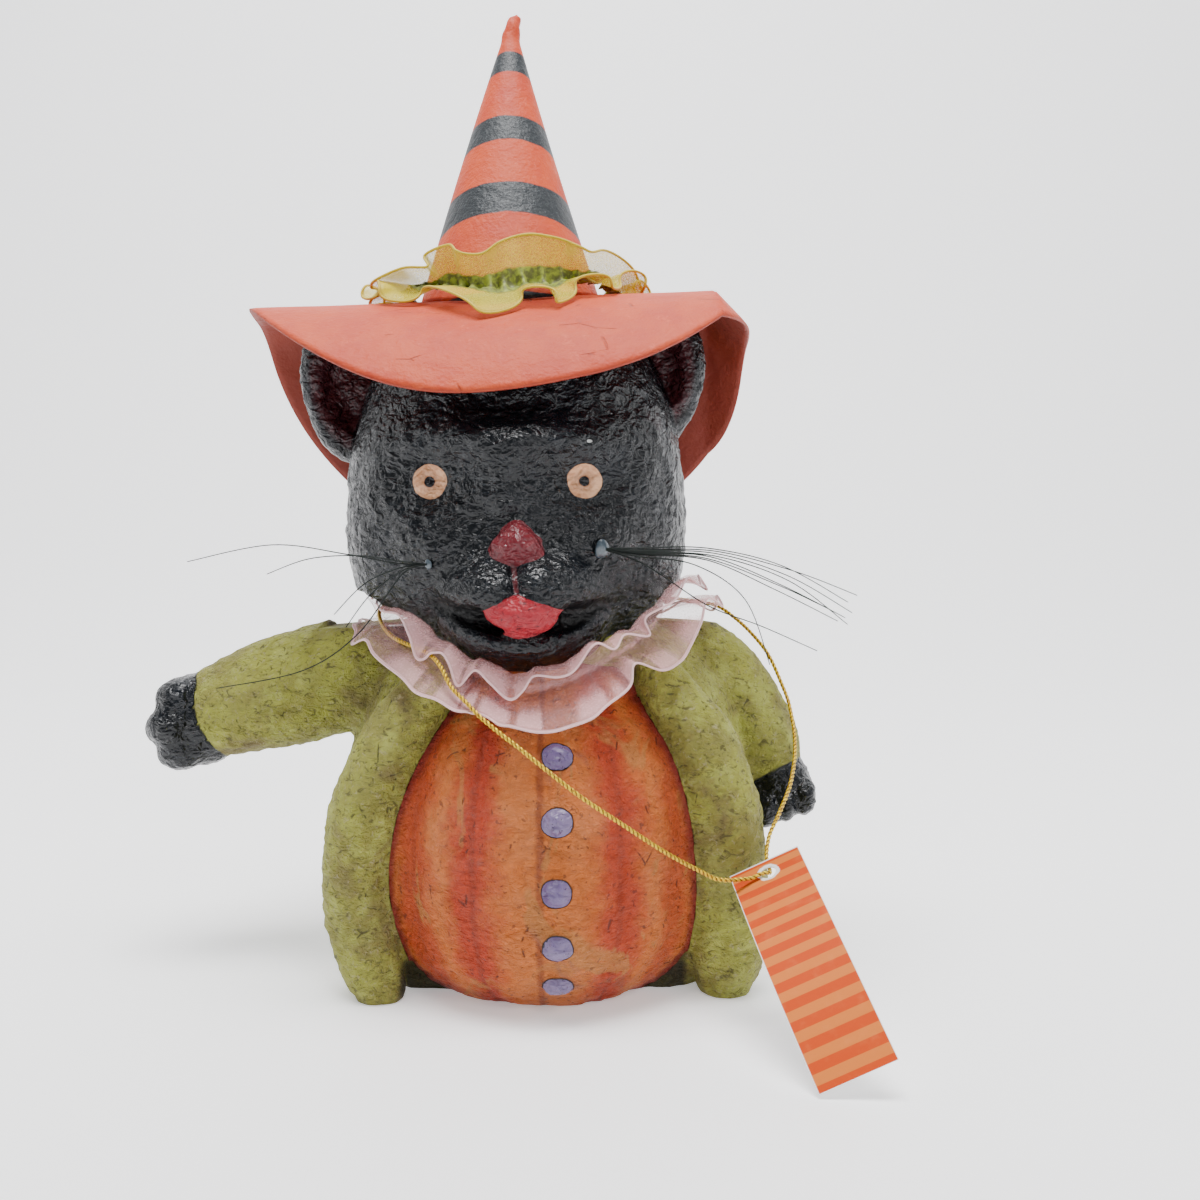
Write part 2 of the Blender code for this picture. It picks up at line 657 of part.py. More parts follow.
def build_hat_ruffle(material):
    sectors = 55
    rows = []
    for share in (-1.0, -0.5, 0.0, 0.5, 1.0):
        row = []
        for k in range(sectors):
            angle = 2 * math.pi * k / sectors
            wave = frill_wave(angle, HAT_RIBBON_WAVES, 0.7)
            foot = cone_foot_radius(angle) + RIBBON_THICKNESS + 2 * FIT_GAP
            if share <= 0:
                radius = foot + HAT_RIBBON_LOWER * -share * (0.92 + 0.1 * wave)
                x, y = radius * math.cos(angle), radius * math.sin(angle)
                lift = 0.0030 * (1 + share) + 0.0026 * (1 + wave) * -share + 0.0012
                height = brim_top(x, y) + RIBBON_THICKNESS / 2 + 4 * FIT_GAP + lift
            else:
                reach = HAT_RIBBON_UPPER * share
                radius = foot + reach * (0.46 + 0.30 * wave * share)
                x, y = radius * math.cos(angle), radius * math.sin(angle)
                base = brim_top(foot * math.cos(angle), foot * math.sin(angle)) * (1 - 0.5 * share)
                height = base + 0.0046 + reach * (0.80 - 0.1 * wave)
            row.append((x, y, height))
        rows.append(row)
    ruffle = ribbon_shell("hat_ruffle", rows, material)
    ruffle.matrix_world = hat_matrix()
    return ruffle


COLLAR_CENTRE = (-3.0, -8.5)
COLLAR_FRONT_HEIGHT = 105.0
COLLAR_SIDE_HEIGHT = 129.5
COLLAR_GROOVE_HEIGHT = 0.0042


def push_needed(point, tree, clearance):
    """The move that takes a point to its clearance off the body and off the cord, or none."""
    place, normal, _, _ = tree.find_nearest(point)
    above = (point - place).dot(normal)
    if above < 0 or (point - place).length < clearance:
        return normal * (clearance - above)
    beside = min(CORD_FINE_PATH, key=lambda place: (point - place).length_squared)
    away = point - beside
    room = CORD_DIAMETER + clearance
    if away.length < room:
        return away.normalized() * (room - away.length)
    return None


def lay_over(rows, tree, clearance):
    """Lift a ring of rows off the body, at its points and between them, until it lies clear."""
    sectors = len(rows[0])
    for _ in range(20):
        for i, row in enumerate(rows):
            for k in range(sectors):
                push = push_needed(row[k], tree, clearance)
                if push:
                    row[k] = row[k] + push
                corners = [(i, k), (i, (k + 1) % sectors)]
                if i + 1 < len(rows):
                    corners += [(i + 1, k), (i + 1, (k + 1) % sectors)]
                middle = sum((rows[a][b] for a, b in corners), Vector()) / len(corners)
                push = push_needed(middle, tree, clearance)
                if push:
                    for a, b in corners:
                        rows[a][b] = rows[a][b] + push
    return rows


def collar_gather(angle):
    """A point of the gathering thread round the neck; angle 0 is at the front, where it hangs lowest."""
    x = COLLAR_CENTRE[0] * UNIT + COLLAR_RADIUS_X * math.sin(angle)
    y = COLLAR_CENTRE[1] * UNIT - COLLAR_RADIUS_Y * math.cos(angle)
    rise = min(1.0, max(0.0, 1 - math.cos(angle))) ** 0.75
    return Vector((x, y, (COLLAR_FRONT_HEIGHT + (COLLAR_SIDE_HEIGHT - COLLAR_FRONT_HEIGHT) * rise) * UNIT))


def under_cheek(angle):
    """0 where the frills stand free in front, 1 where they are pressed flat below the cheeks and nape."""
    return float(ramp(1 - math.cos(angle), 0.35, 0.80))


def collar_groove():
    """The slot under the cheeks and the nape in which the gathered ribbon sits."""
    sectors = 48
    inset = RIBBON_THICKNESS / 2 + RIBBON_CLEARANCE
    verts = []
    for reach, height in ((-inset, -1.2), (0.034, -1.8), (0.034, 2.2), (-inset, 1.0)):
        for k in range(sectors):
            angle = 2 * math.pi * k / sectors
            out = Vector((math.sin(angle), -math.cos(angle), 0))
            verts.append(collar_gather(angle) + out * reach + Vector((0, 0, COLLAR_GROOVE_HEIGHT * height)))
    faces = ring_faces(4, sectors)
    for k in range(sectors):
        after = (k + 1) % sectors
        faces.append((3 * sectors + k, k, after, 3 * sectors + after))
    cutter = add_object("collar_groove", verts, faces)
    face_outward(cutter)
    return cutter


def build_collar(material, tree):
    sectors = 62
    rows = []
    for share in (-1.0, -0.66, -0.33, 0.0, 0.5, 1.0):
        row = []
        for k in range(sectors):
            angle = 2 * math.pi * k / sectors
            gather = collar_gather(angle)
            out = Vector((math.sin(angle), -math.cos(angle), 0))
            flat = under_cheek(angle)
            wave = frill_wave(angle, COLLAR_WAVES, 0.3) * (1 - 0.6 * flat)
            if share < 0:
                drop = COLLAR_LOWER * -share
                reach = drop * (0.50 + 0.30 * flat + 0.16 * wave * -share)
                point = gather + out * reach - Vector((0, 0, drop * (0.70 - 0.54 * flat - 0.10 * wave)))
            else:
                rise = COLLAR_UPPER * share
                reach = rise * (0.44 + 0.40 * flat + 0.36 * wave * share)
                point = gather + out * reach + Vector((0, 0, rise * (0.84 - 0.62 * flat - 0.08 * wave)))
            row.append(point)
        rows.append(row[::-1])
    rows = lay_over(rows, tree, RIBBON_THICKNESS / 2 + RIBBON_CLEARANCE)
    return ribbon_shell("collar_ruffle", rows, material)


# Whiskers: bristles that meet in a drop of glue on the cheek.
def strand(points, name):
    path = smooth_path([Vector(p) for p in points], 3)
    verts, faces = tube(path, [WHISKER_RADIUS] * len(path), 4, round_ends=False)
    return add_object(name, verts, faces)


def build_whiskers(name, root, strands, tree, material):
    """root is x and z on the cheek; each strand's points are offsets from the glue drop."""
    hit, normal = tree.ray_cast(Vector((root[0], -1.0, root[1])), Vector((0, 1, 0)))[:2]
    centre = hit + normal * (GLUE_DROP_RADIUS * 0.55 + 2 * FIT_GAP)
    directions, faces = sphere_directions(1)
    spin = normal.to_track_quat("Z", "Y").to_matrix()
    verts = []
    for d in directions:
        local = Vector((d[0], d[1] * 1.2, d[2] * 0.5)) * GLUE_DROP_RADIUS
        verts.append(centre + spin @ local)
    drop = add_object(name, verts, faces, material)
    group = bpy.data.collections.new(name + "_strands")
    bpy.context.scene.collection.children.link(group)
    for i, offsets in enumerate(strands):
        bristle = strand([centre] + [centre + Vector(o) for o in offsets], f"{name}_strand_{i}")
        as_cutter(bristle)
        bpy.context.scene.collection.objects.unlink(bristle)
        group.objects.link(bristle)
    fuse = drop.modifiers.new("fuse strands", "BOOLEAN")
    fuse.operation = "UNION"
    fuse.solver = "EXACT"
    fuse.operand_type = "COLLECTION"
    fuse.collection = group
    return drop


LEFT_ROOT = (-36.5 * UNIT, 147.5 * UNIT)
RIGHT_ROOT = (19.2 * UNIT, 152.5 * UNIT)
LEFT_STRANDS = (
    ((-0.010, -0.003, 0.0005), (-0.026, -0.004, 0.0035), (-0.050, -0.004, 0.0065), (-0.078, -0.002, 0.0010)),
    ((-0.009, -0.003, -0.0010), (-0.020, -0.005, -0.0060), (-0.030, -0.005, -0.0160)),
    ((-0.008, -0.004, -0.0030), (-0.022, -0.006, -0.0220), (-0.040, -0.006, -0.0340), (-0.068, -0.004, -0.0400)),
)
RIGHT_STRANDS = (
    ((0.012, -0.004, -0.0002), (0.036, -0.005, -0.0005), (0.062, -0.004, -0.0070), (0.083, -0.003, -0.0150)),
    ((0.012, -0.004, -0.0008), (0.036, -0.007, -0.0020), (0.060, -0.008, -0.0100), (0.079, -0.008, -0.0240)),
    ((0.012, -0.003, -0.0014), (0.034, -0.003, -0.0030), (0.058, -0.001, -0.0120), (0.076, 0.000, -0.0205)),
    ((0.011, -0.004, -0.0022), (0.030, -0.006, -0.0050), (0.046, -0.008, -0.0160), (0.054, -0.009, -0.0370)),
)


def build_cord(material):
    curve = bpy.data.curves.new("gold_cord", "CURVE")
    curve.dimensions = "3D"
    curve.bevel_depth = CORD_DIAMETER / 2
    curve.bevel_resolution = 2
    curve.use_fill_caps = True
    spline = curve.splines.new("POLY")
    spline.points.add(len(CORD_PATH) - 1)
    for point, place in zip(spline.points, CORD_PATH):
        point.co = (*place, 1.0)
    curve.materials.append(material)
    cord = bpy.data.objects.new("gold_cord", curve)
    bpy.context.scene.collection.objects.link(cord)
    return cord


def build_tag(material):
    """A bent card that hangs on the cord, its lower corner just off the floor."""
    columns, rows = 2, 9
    verts, faces = [], []
    for i in range(rows + 1):
        for j in range(columns + 1):
            verts.append(tag_place((j / columns - 0.5) * TAG_WIDTH, TAG_LENGTH * i / rows))
    for i in range(rows):
        for j in range(columns):
            a = i * (columns + 1) + j
            faces.append((a, a + 1, a + columns + 2, a + columns + 1))
    tag = add_object("hang_tag", verts, faces, material)
    thick = tag.modifiers.new("thickness", "SOLIDIFY")
    thick.thickness = TAG_THICKNESS
    thick.offset = 0.0
    punch_ends = [tag_place(0, TAG_HOLE_INSET, lift) for lift in (-TAG_HOLE_RADIUS, TAG_HOLE_RADIUS)]
    punch_verts, punch_faces = tube(punch_ends, [TAG_HOLE_RADIUS] * 2, 16, round_ends=False)
    cut(tag, add_object("tag_punch", punch_verts, punch_faces))
    return tag


def shade(obj):
    obj.data.shade_smooth()
    obj.data.set_sharp_from_angle(angle=math.radians(50))


def main():
    clear_scene()
    figure = build_figure(make_material("painted_papier_mache", BLACK, 0.55))
    hat_card = make_material("painted_card", HAT_ORANGE, 0.6)
    build_brim(hat_card)
    build_cone(hat_card.copy())
    build_hat_ruffle(make_material("yellow_organza", YELLOW, 0.5))
    tree = evaluated_tree(figure)
    build_collar(make_material("pink_organza", PINK, 0.5), tree)
    bristle = make_material("bristle", (0.05, 0.05, 0.05, 1.0), 0.4)
    build_whiskers("whiskers_left", LEFT_ROOT, LEFT_STRANDS, tree, bristle)
    build_whiskers("whiskers_right", RIGHT_ROOT, RIGHT_STRANDS, tree, bristle.copy())
    build_cord(make_material("gold_cord", GOLD, 0.35, 1.0))
    build_tag(make_material("tag_card", TAG_ORANGE, 0.5))
    for obj in bpy.data.objects:
        if obj.type == "MESH" and not obj.hide_render:
            shade(obj)


main()
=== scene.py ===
"""Papier-mache cat with a pumpkin belly, an open coat and a striped paper hat: the visible model.

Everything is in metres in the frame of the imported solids. Forms of the figure are written in units of
a 225th of its height, which is a millimetre at the modelled size.
"""

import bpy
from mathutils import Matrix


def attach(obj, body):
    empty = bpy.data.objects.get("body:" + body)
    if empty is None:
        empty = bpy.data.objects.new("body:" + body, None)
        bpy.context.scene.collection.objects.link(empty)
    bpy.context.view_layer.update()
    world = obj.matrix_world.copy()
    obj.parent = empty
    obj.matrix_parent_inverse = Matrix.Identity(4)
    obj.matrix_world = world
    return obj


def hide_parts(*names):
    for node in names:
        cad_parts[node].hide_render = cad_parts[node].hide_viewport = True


bl_info = {
    "name": "Papier-mache cat",
    "version": (1, 0, 0),
    "blender": (4, 5, 0),
    "location": "View3D > Sidebar > Papier Cat",
    "description": "Builds a papier-mache cat with a paper hat, organza ruffles, whiskers and a corded tag",
    "category": "Add Mesh",
}

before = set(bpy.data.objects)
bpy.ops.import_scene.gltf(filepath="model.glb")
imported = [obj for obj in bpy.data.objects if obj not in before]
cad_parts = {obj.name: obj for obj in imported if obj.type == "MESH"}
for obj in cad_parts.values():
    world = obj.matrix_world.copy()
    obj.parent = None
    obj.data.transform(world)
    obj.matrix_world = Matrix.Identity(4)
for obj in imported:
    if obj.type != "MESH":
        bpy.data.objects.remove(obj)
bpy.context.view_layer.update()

import math

import bmesh
import bpy
import numpy as np
from mathutils import Euler, Matrix, Vector
from mathutils.bvhtree import BVHTree
from mathutils.kdtree import KDTree

MM = 0.001
UNITS_HIGH = 225.0
WHOLE_TURN = 2 * math.pi


def length(name, description, default):
    return bpy.props.FloatProperty(name=name, description=description, default=default, min=0.0,
                                   precision=5, subtype="DISTANCE", unit="LENGTH")


def colour(name, description, default):
    return bpy.props.FloatVectorProperty(name=name, description=description, default=default, size=3,
                                         min=0.0, max=1.0, subtype="COLOR")


# Settings that a user would change.
class FigureSettings(bpy.types.PropertyGroup):
    height: length("Height", "Height of the figure without its hat", 0.225)
    voxel: length("Skin detail", "Size of the facets of the papier-mache skin", 0.00152)
    lump_depth: length("Lump depth", "How far the hand-modelled lumps stand out", 0.0008)
    fur: colour("Fur paint", "Black paint of head and paws", (0.0038, 0.0048, 0.0064))
    coat: colour("Coat paint", "Green paint of the coat", (0.365, 0.370, 0.056))
    belly: colour("Belly paint", "Orange paint of the pumpkin belly", (0.60, 0.145, 0.020))
    seams: colour("Seam paint", "Red paint between the ribs of the belly", (0.46, 0.040, 0.007))
    buttons: colour("Button paint", "Purple paint of the buttons", (0.135, 0.095, 0.215))
    nose: colour("Nose paint", "Dark red paint of the nose", (0.120, 0.012, 0.018))
    tongue: colour("Tongue paint", "Red paint of the tongue", (0.330, 0.016, 0.026))
    eyes: colour("Eye paint", "Peach paint of the eyes", (0.66, 0.36, 0.20))


class HatSettings(bpy.types.PropertyGroup):
    brim_radius: length("Brim radius", "Radius of the flat disc of the brim", 0.0955)
    hole_radius: length("Hole radius", "Radius of the hole in the brim", 0.024)
    card: length("Card thickness", "Thickness of the painted card", 0.0013)
    cone_radius: length("Cone radius", "Radius of the cone at the brim's ridge", 0.0345)
    cone_height: length("Cone height", "Height of the cone over the brim's ridge", 0.1225)
    paint: colour("Hat paint", "Orange paint of the hat", (0.55, 0.070, 0.016))
    stripe: colour("Stripe paint", "Black paint of the stripes", (0.022, 0.026, 0.030))


class RibbonSettings(bpy.types.PropertyGroup):
    hat_upper: length("Hat frill, upper", "Width of the frill that stands round the cone", 0.018)
    hat_lower: length("Hat frill, lower", "Width of the frill that lies on the brim", 0.0150)
    collar_upper: length("Collar frill, upper", "Width of the frill that stands under the chin", 0.0125)
    collar_lower: length("Collar frill, lower", "Width of the frill that falls on the coat", 0.020)
    edge: length("Edge thread", "Thickness of the thread along the ribbon's edges", 0.0007)
    yellow: colour("Hat ribbon", "Yellow of the hat's organza", (0.66, 0.56, 0.002))
    pink: colour("Collar ribbon", "Pink of the collar's organza", (0.84, 0.44, 0.44))


class CordSettings(bpy.types.PropertyGroup):
    diameter: length("Cord diameter", "Thickness of the gold cord", 0.0014)
    lay: length("Lay of the cord", "Length of one turn of its two strands", 0.0034)
    gold: colour("Gold", "Colour of the metallic thread", (0.78, 0.54, 0.006))


class WhiskerSettings(bpy.types.PropertyGroup):
    radius: length("Bristle radius", "Radius of a single bristle", 0.00028)
    drop: length("Glue drop", "Radius of the drop of glue on the cheek", 0.0026)
    bristle: colour("Bristle", "Colour of the bristles", (0.006, 0.009, 0.008))


class TagSettings(bpy.types.PropertyGroup):
    stripe: length("Stripe width", "Width of one printed stripe", 0.0031)
    deep: colour("Deep orange", "Darker of the two printed oranges", (0.54, 0.054, 0.001))
    pale: colour("Pale orange", "Lighter of the two printed oranges", (0.62, 0.165, 0.024))


class StageSettings(bpy.types.PropertyGroup):
    view_height: length("Camera height", "Height of the camera over the floor", 0.165)
    view_distance: length("Camera distance", "Distance of the camera in front of the figure", 0.474)
    floor: colour("Floor", "Colour of the pale floor", (0.93, 0.93, 0.94))
    glow: bpy.props.FloatProperty(name="Floor glow", description="Light that the lit board gives back",
                                  default=0.42, min=0.0)


SETTINGS = {
    "cat_figure": FigureSettings,
    "cat_hat": HatSettings,
    "cat_ribbon": RibbonSettings,
    "cat_cord": CordSettings,
    "cat_whiskers": WhiskerSettings,
    "cat_tag": TagSettings,
    "cat_stage": StageSettings,
}


def settings(name):
    return getattr(bpy.context.scene, name)


# Mesh helpers.
def put(name, verts, faces, material=None):
    mesh = bpy.data.meshes.new(name)
    mesh.from_pydata([tuple(v) for v in verts], [], faces)
    mesh.update()
    mesh.shade_smooth()
    if material:
        mesh.materials.append(material)
    obj = bpy.data.objects.new(name, mesh)
    bpy.context.scene.collection.objects.link(obj)
    return obj


def face_outward(obj):
    shape = bmesh.new()
    shape.from_mesh(obj.data)
    bmesh.ops.recalc_face_normals(shape, faces=shape.faces)
    shape.to_mesh(obj.data)
    shape.free()


def bake_modifiers(obj):
    """Replace the object's mesh by its evaluated one and drop the modifiers."""
    graph = bpy.context.evaluated_depsgraph_get()
    graph.update()
    mesh = bpy.data.meshes.new_from_object(obj.evaluated_get(graph), depsgraph=graph)
    old = obj.data
    obj.modifiers.clear()
    obj.data = mesh
    bpy.data.meshes.remove(old)


def vertex_rows(mesh, kind):
    """The mesh's vertex positions (kind "co") or normals (kind "normal"), one row each."""
    flat = np.empty(len(mesh.vertices) * 3)
    mesh.vertices.foreach_get(kind, flat)
    return flat.reshape(-1, 3)


def move_to(mesh, points):
    mesh.vertices.foreach_set("co", np.ascontiguousarray(points).ravel())
    mesh.update()


def store(mesh, name, values):
    """Keep one number per vertex for the mesh's paint to read."""
    attribute = mesh.attributes.new(name, "FLOAT", "POINT")
    attribute.data.foreach_set("value", np.asarray(values, dtype=np.float32))


def hill(offset, width):
    """1 in the middle, falling smoothly to nothing over about twice the width."""
    return np.exp(-(offset / width) ** 2)


def ramp(value, low, high):
    """A smooth rise from 0 at low to 1 at high."""
    t = np.clip((value - low) / (high - low), 0.0, 1.0)
    return t * t * (3.0 - 2.0 * t)


def lattice(ix, iy, iz, seed):
    """A fixed scattered number between -1 and 1 for each lattice point."""
    h = (ix * 374761393 + iy * 668265263 + iz * 1440662683 + seed * 1274126177) & 0xFFFFFFFF
    h = ((h ^ (h >> 13)) * 1103515245) & 0xFFFFFFFF
    return ((h ^ (h >> 16)) & 0xFFFF) / 32767.5 - 1.0


def lumps(points, size, seed=1, layers=2):
    """Soft lumps of about the given size, between about -1 and 1."""
    points = np.asarray(points, float)
    total, weight = np.zeros(len(points)), 1.0
    for layer in range(layers):
        place = points / size + 7.31 * seed
        base = np.floor(place).astype(np.int64)
        t = place - base
        t = t * t * (3 - 2 * t)
        for corner in range(8):
            step = [(corner >> k) & 1 for k in range(3)]
            share = np.prod([t[:, k] if step[k] else 1 - t[:, k] for k in range(3)], axis=0)
            total += weight * share * lattice(*(base[:, k] + step[k] for k in range(3)), seed + layer)
        weight, size = weight * 0.5, size * 0.5
    return total


def smooth_path(points, steps):
    """Points along a smooth curve that runs through the given ones."""
    rows = [points[0]] + list(points) + [points[-1]]
    path = []
    for i in range(1, len(rows) - 2):
        a, b, c, d = (np.array(rows[i + k], float) for k in (-1, 0, 1, 2))
        for step in range(steps):
            t = step / steps
            path.append(0.5 * (2 * b + (c - a) * t + (2 * a - 5 * b + 4 * c - d) * t * t
                               + (3 * b - a - 3 * c + d) * t ** 3))
    path.append(np.array(points[-1], float))
    return path


def around(k, count):
    """The angle of step k out of count steps round a full turn."""
    return WHOLE_TURN * k / count


def sweep(path, radius_at, sides, closed=False):
    """A tube along the path; radius_at takes the length along it and the angle round it."""
    path = [Vector(p) for p in path]
    count = len(path)
    verts, faces, side_axis, run = [], [], None, 0.0
    for i, centre in enumerate(path):
        before = path[i - 1] if closed or i else path[0]
        after = path[(i + 1) % count] if closed or i + 1 < count else path[-1]
        ahead = (after - before).normalized()
        guess = side_axis or (Vector((0, 0, 1)) if abs(ahead.z) < 0.9 else Vector((0, 1, 0)))
        side_axis = (guess - ahead * guess.dot(ahead)).normalized()
        other_axis = ahead.cross(side_axis)
        run += (centre - path[i - 1]).length if i else 0.0
        for k in range(sides):
            angle = around(k, sides)
            radius = radius_at(run, angle)
            verts.append(centre + radius * (side_axis * math.cos(angle) + other_axis * math.sin(angle)))
    for i in range(count if closed else count - 1):
        after = (i + 1) % count
        for k in range(sides):
            turn = (k + 1) % sides
            faces.append((i * sides + k, i * sides + turn, after * sides + turn, after * sides + k))
    if not closed:
        faces.append(tuple(reversed(range(sides))))
        faces.append(tuple(range((count - 1) * sides, count * sides)))
    return verts, faces


def gather_forms(forms):
    """Several forms as the points and faces of one."""
    verts, faces = [], []
    for form_verts, form_faces in forms:
        start = len(verts)
        verts.extend(tuple(v) for v in form_verts)
        faces.extend([tuple(start + i for i in face) for face in form_faces])
    return verts, faces


# Materials: a small builder for node trees.
class Field:
    """A number, vector or colour that nodes work out; + - * and abs() add the node for that sum."""

    def __init__(self, paint, socket):
        self.paint = paint
        self.socket = socket

    def __add__(self, other):
        return self.paint.math("ADD", self, other)

    def __sub__(self, other):
        return self.paint.math("SUBTRACT", self, other)

    def __rsub__(self, other):
        return self.paint.math("SUBTRACT", other, self)

    def __mul__(self, other):
        return self.paint.math("MULTIPLY", self, other)

    def __abs__(self):
        return self.paint.math("ABSOLUTE", self)


class Paint:
    """One material's node tree, with textures in the object's own metres."""

    def __init__(self, name):
        self.material = bpy.data.materials.new(name)
        self.material.use_nodes = True
        self.tree = self.material.node_tree
        self.shader = self.tree.nodes["Principled BSDF"]
        self.place = self.node("TexCoord", "Object")

    def feed(self, socket, value):
        """Link a field to a socket, or set the socket to a plain number, vector or colour."""
        if isinstance(value, Field):
            self.tree.links.new(value.socket, socket)
        elif socket.type == "RGBA":
            socket.default_value = (*value, 1.0)
        else:
            socket.default_value = value

    def node(self, kind, output, inputs=None, **properties):
        """Add a shader node, set its properties, feed its inputs and give one output."""
        node = self.tree.nodes.new("ShaderNode" + kind)
        for name, value in properties.items():
            setattr(node, name, value)
        for name, value in (inputs or {}).items():
            self.feed(node.inputs[name], value)
        return Field(self, node.outputs[output])

    def set(self, **values):
        for name, value in values.items():
            self.feed(self.shader.inputs[name.replace("_", " ")], value)

    def noise(self, size, detail=3.0, roughness=0.55, twist=0.0, place=None):
        return self.node("TexNoise", "Fac", {"Scale": 1.0 / size, "Detail": detail, "Roughness": roughness,
                                             "Distortion": twist, "Vector": place or self.place})

    def uneven(self, amount, size, detail=3.0, roughness=0.55):
        """Noise that strays to both sides of nothing."""
        return (self.noise(size, detail, roughness) - 0.5) * amount

    def crack_distance(self, size, place):
        """How far a place is from the nearest line of a net of cells."""
        return self.node("TexVoronoi", "Distance", {"Scale": 1.0 / size, "Vector": place},
                         feature="DISTANCE_TO_EDGE")

    def stretch(self, factors, place=None):
        return self.vector("MULTIPLY", place or self.place, factors)

    def vector(self, operation, a, b=None, output="Vector"):
        inputs = {0: a} if b is None else {0: a, 1: b}
        return self.node("VectorMath", output, inputs, operation=operation)

    def math(self, operation, a, b=0.0, c=None):
        inputs = {0: a, 1: b} if c is None else {0: a, 1: b, 2: c}
        return self.node("Math", 0, inputs, operation=operation)

    def most(self, a, b):
        return self.math("MAXIMUM", a, b)

    def step(self, value, low, high, to_low=0.0, to_high=1.0):
        """A smooth change from to_low, where the value is low, to to_high, where it is high."""
        inputs = {"Value": value, "From Min": low, "From Max": high, "To Min": to_low, "To Max": to_high}
        return self.node("MapRange", "Result", inputs, interpolation_type="SMOOTHSTEP")

    def mix(self, share, a, b):
        return self.node("Mix", 2, {0: share, 6: a, 7: b}, data_type="RGBA")

    def attribute(self, name):
        return self.node("Attribute", "Fac", attribute_name=name)

    def axes(self):
        """The x, y and z of the place."""
        separate = self.node("SeparateXYZ", 0, {0: self.place}).socket.node
        return [Field(self, output) for output in separate.outputs]

    def facing(self, direction):
        """How far the surface faces a fixed direction of the object."""
        return self.vector("DOT_PRODUCT", self.node("NewGeometry", "Normal"), direction, "Value")

    def bump(self, height, distance, strength=1.0):
        return self.node("Bump", "Normal", {"Strength": strength, "Distance": distance, "Height": height})


# Forms of the figure, in units.
BLOB_SUBDIVISIONS = 5
FACE_X, FACE_Z, FACE_LEAN = -11.0, 174.0, 0.10
OUTSIDE = -9.0


def sphere_directions(subdivisions):
    shape = bmesh.new()
    bmesh.ops.create_icosphere(shape, subdivisions=subdivisions, radius=1.0)
    directions = np.array([v.co[:] for v in shape.verts])
    faces = [tuple(v.index for v in f.verts) for f in shape.faces]
    shape.free()
    return directions, faces


def spin_of(turn):
    """The rotation by three angles in degrees."""
    return np.array(Euler([math.radians(a) for a in turn]).to_matrix())


def turned(points, turn, centre):
    """The points turned about the origin and then moved to the centre."""
    return points @ spin_of(turn).T + np.array(centre)


def blob(centre, radii, power=2.0, underside_shade=None, behind=None, turn=(0, 0, 0)):
    """A rounded body, boxier with a higher power, with other radii below and behind its centre."""
    directions, faces = sphere_directions(BLOB_SUBDIVISIONS)
    ry = np.where(directions[:, 1] > 0, behind or radii[1], radii[1])
    rz = np.where(directions[:, 2] < 0, underside_shade or radii[2], radii[2])
    round_part = (directions[:, 0] / radii[0]) ** 2 + (directions[:, 1] / ry) ** 2
    total = round_part ** (power / 2) + np.abs(directions[:, 2] / rz) ** power
    return turned(directions * (total ** (-1.0 / power))[:, None], turn, centre), faces


def limb(stations, steps=6, sides=40):
    """A sleeve or rolled edge with domed ends: stations are x, y, z and radius."""
    rows = smooth_path(stations, steps)
    first = np.array(rows[0][:3]) - np.array(rows[1][:3])
    last = np.array(rows[-1][:3]) - np.array(rows[-2][:3])
    path, radii = [r[:3] for r in rows], [float(r[3]) for r in rows]
    caps = (0.97, 0.75, 0.4)
    start = [path[0] + first / np.linalg.norm(first) * radii[0] * c for c in caps]
    end = [path[-1] + last / np.linalg.norm(last) * radii[-1] * c for c in reversed(caps)]
    start_radii = [radii[0] * math.sqrt(1 - c * c) for c in caps]
    end_radii = [radii[-1] * math.sqrt(1 - c * c) for c in reversed(caps)]
    path, radii = start + path + end, start_radii + radii + end_radii
    rings = iter([radius for radius in radii for _ in range(sides)])
    return sweep(path, lambda run, angle: next(rings), sides)


def face_middle(z):
    """Where the face's leaning middle line is at a height."""
    return FACE_X + FACE_LEAN * (FACE_Z - z)


def head_forms():
    return [
        blob((-11.2, -3.0, 154.5), (61, 55, 90), 2.4, underside_shade=43, behind=52),
        blob((-7, -37, 134.5), (31, 32, 21.5), 2.3, underside_shade=23),
        blob((-8, -30, 184), (38, 30, 20), 2.0),
    ]


EARS = (((-68.5, 1, 209), (21, 11, 28), (0, -14, 12)), ((36.5, -1, 213), (20, 11, 27), (0, 12, -8)))


def ear_form(centre, radii, turn):
    """A thick cupped ear, hollowed on its front."""
    points, faces = blob((0, 0, 0), radii, 2.2)
    across = np.hypot(points[:, 0] / radii[0], points[:, 2] / radii[2])
    points[:, 1] += np.where(points[:, 1] < 1, 1.0, 0.0) * 8.5 * (1 - ramp(across, 0.35, 0.85))
    return turned(points, turn, centre), faces


def mouth_edges(x):
    """Heights of the upper and lower edge of the smile, at a distance from the face's middle line."""
    roof = 135.5 + 0.0012 * x ** 2 + 1.8 * hill(x, 4) - 1.2 * hill(np.abs(x) - 13, 7)
    return roof, 124.0 + 0.0108 * x ** 2


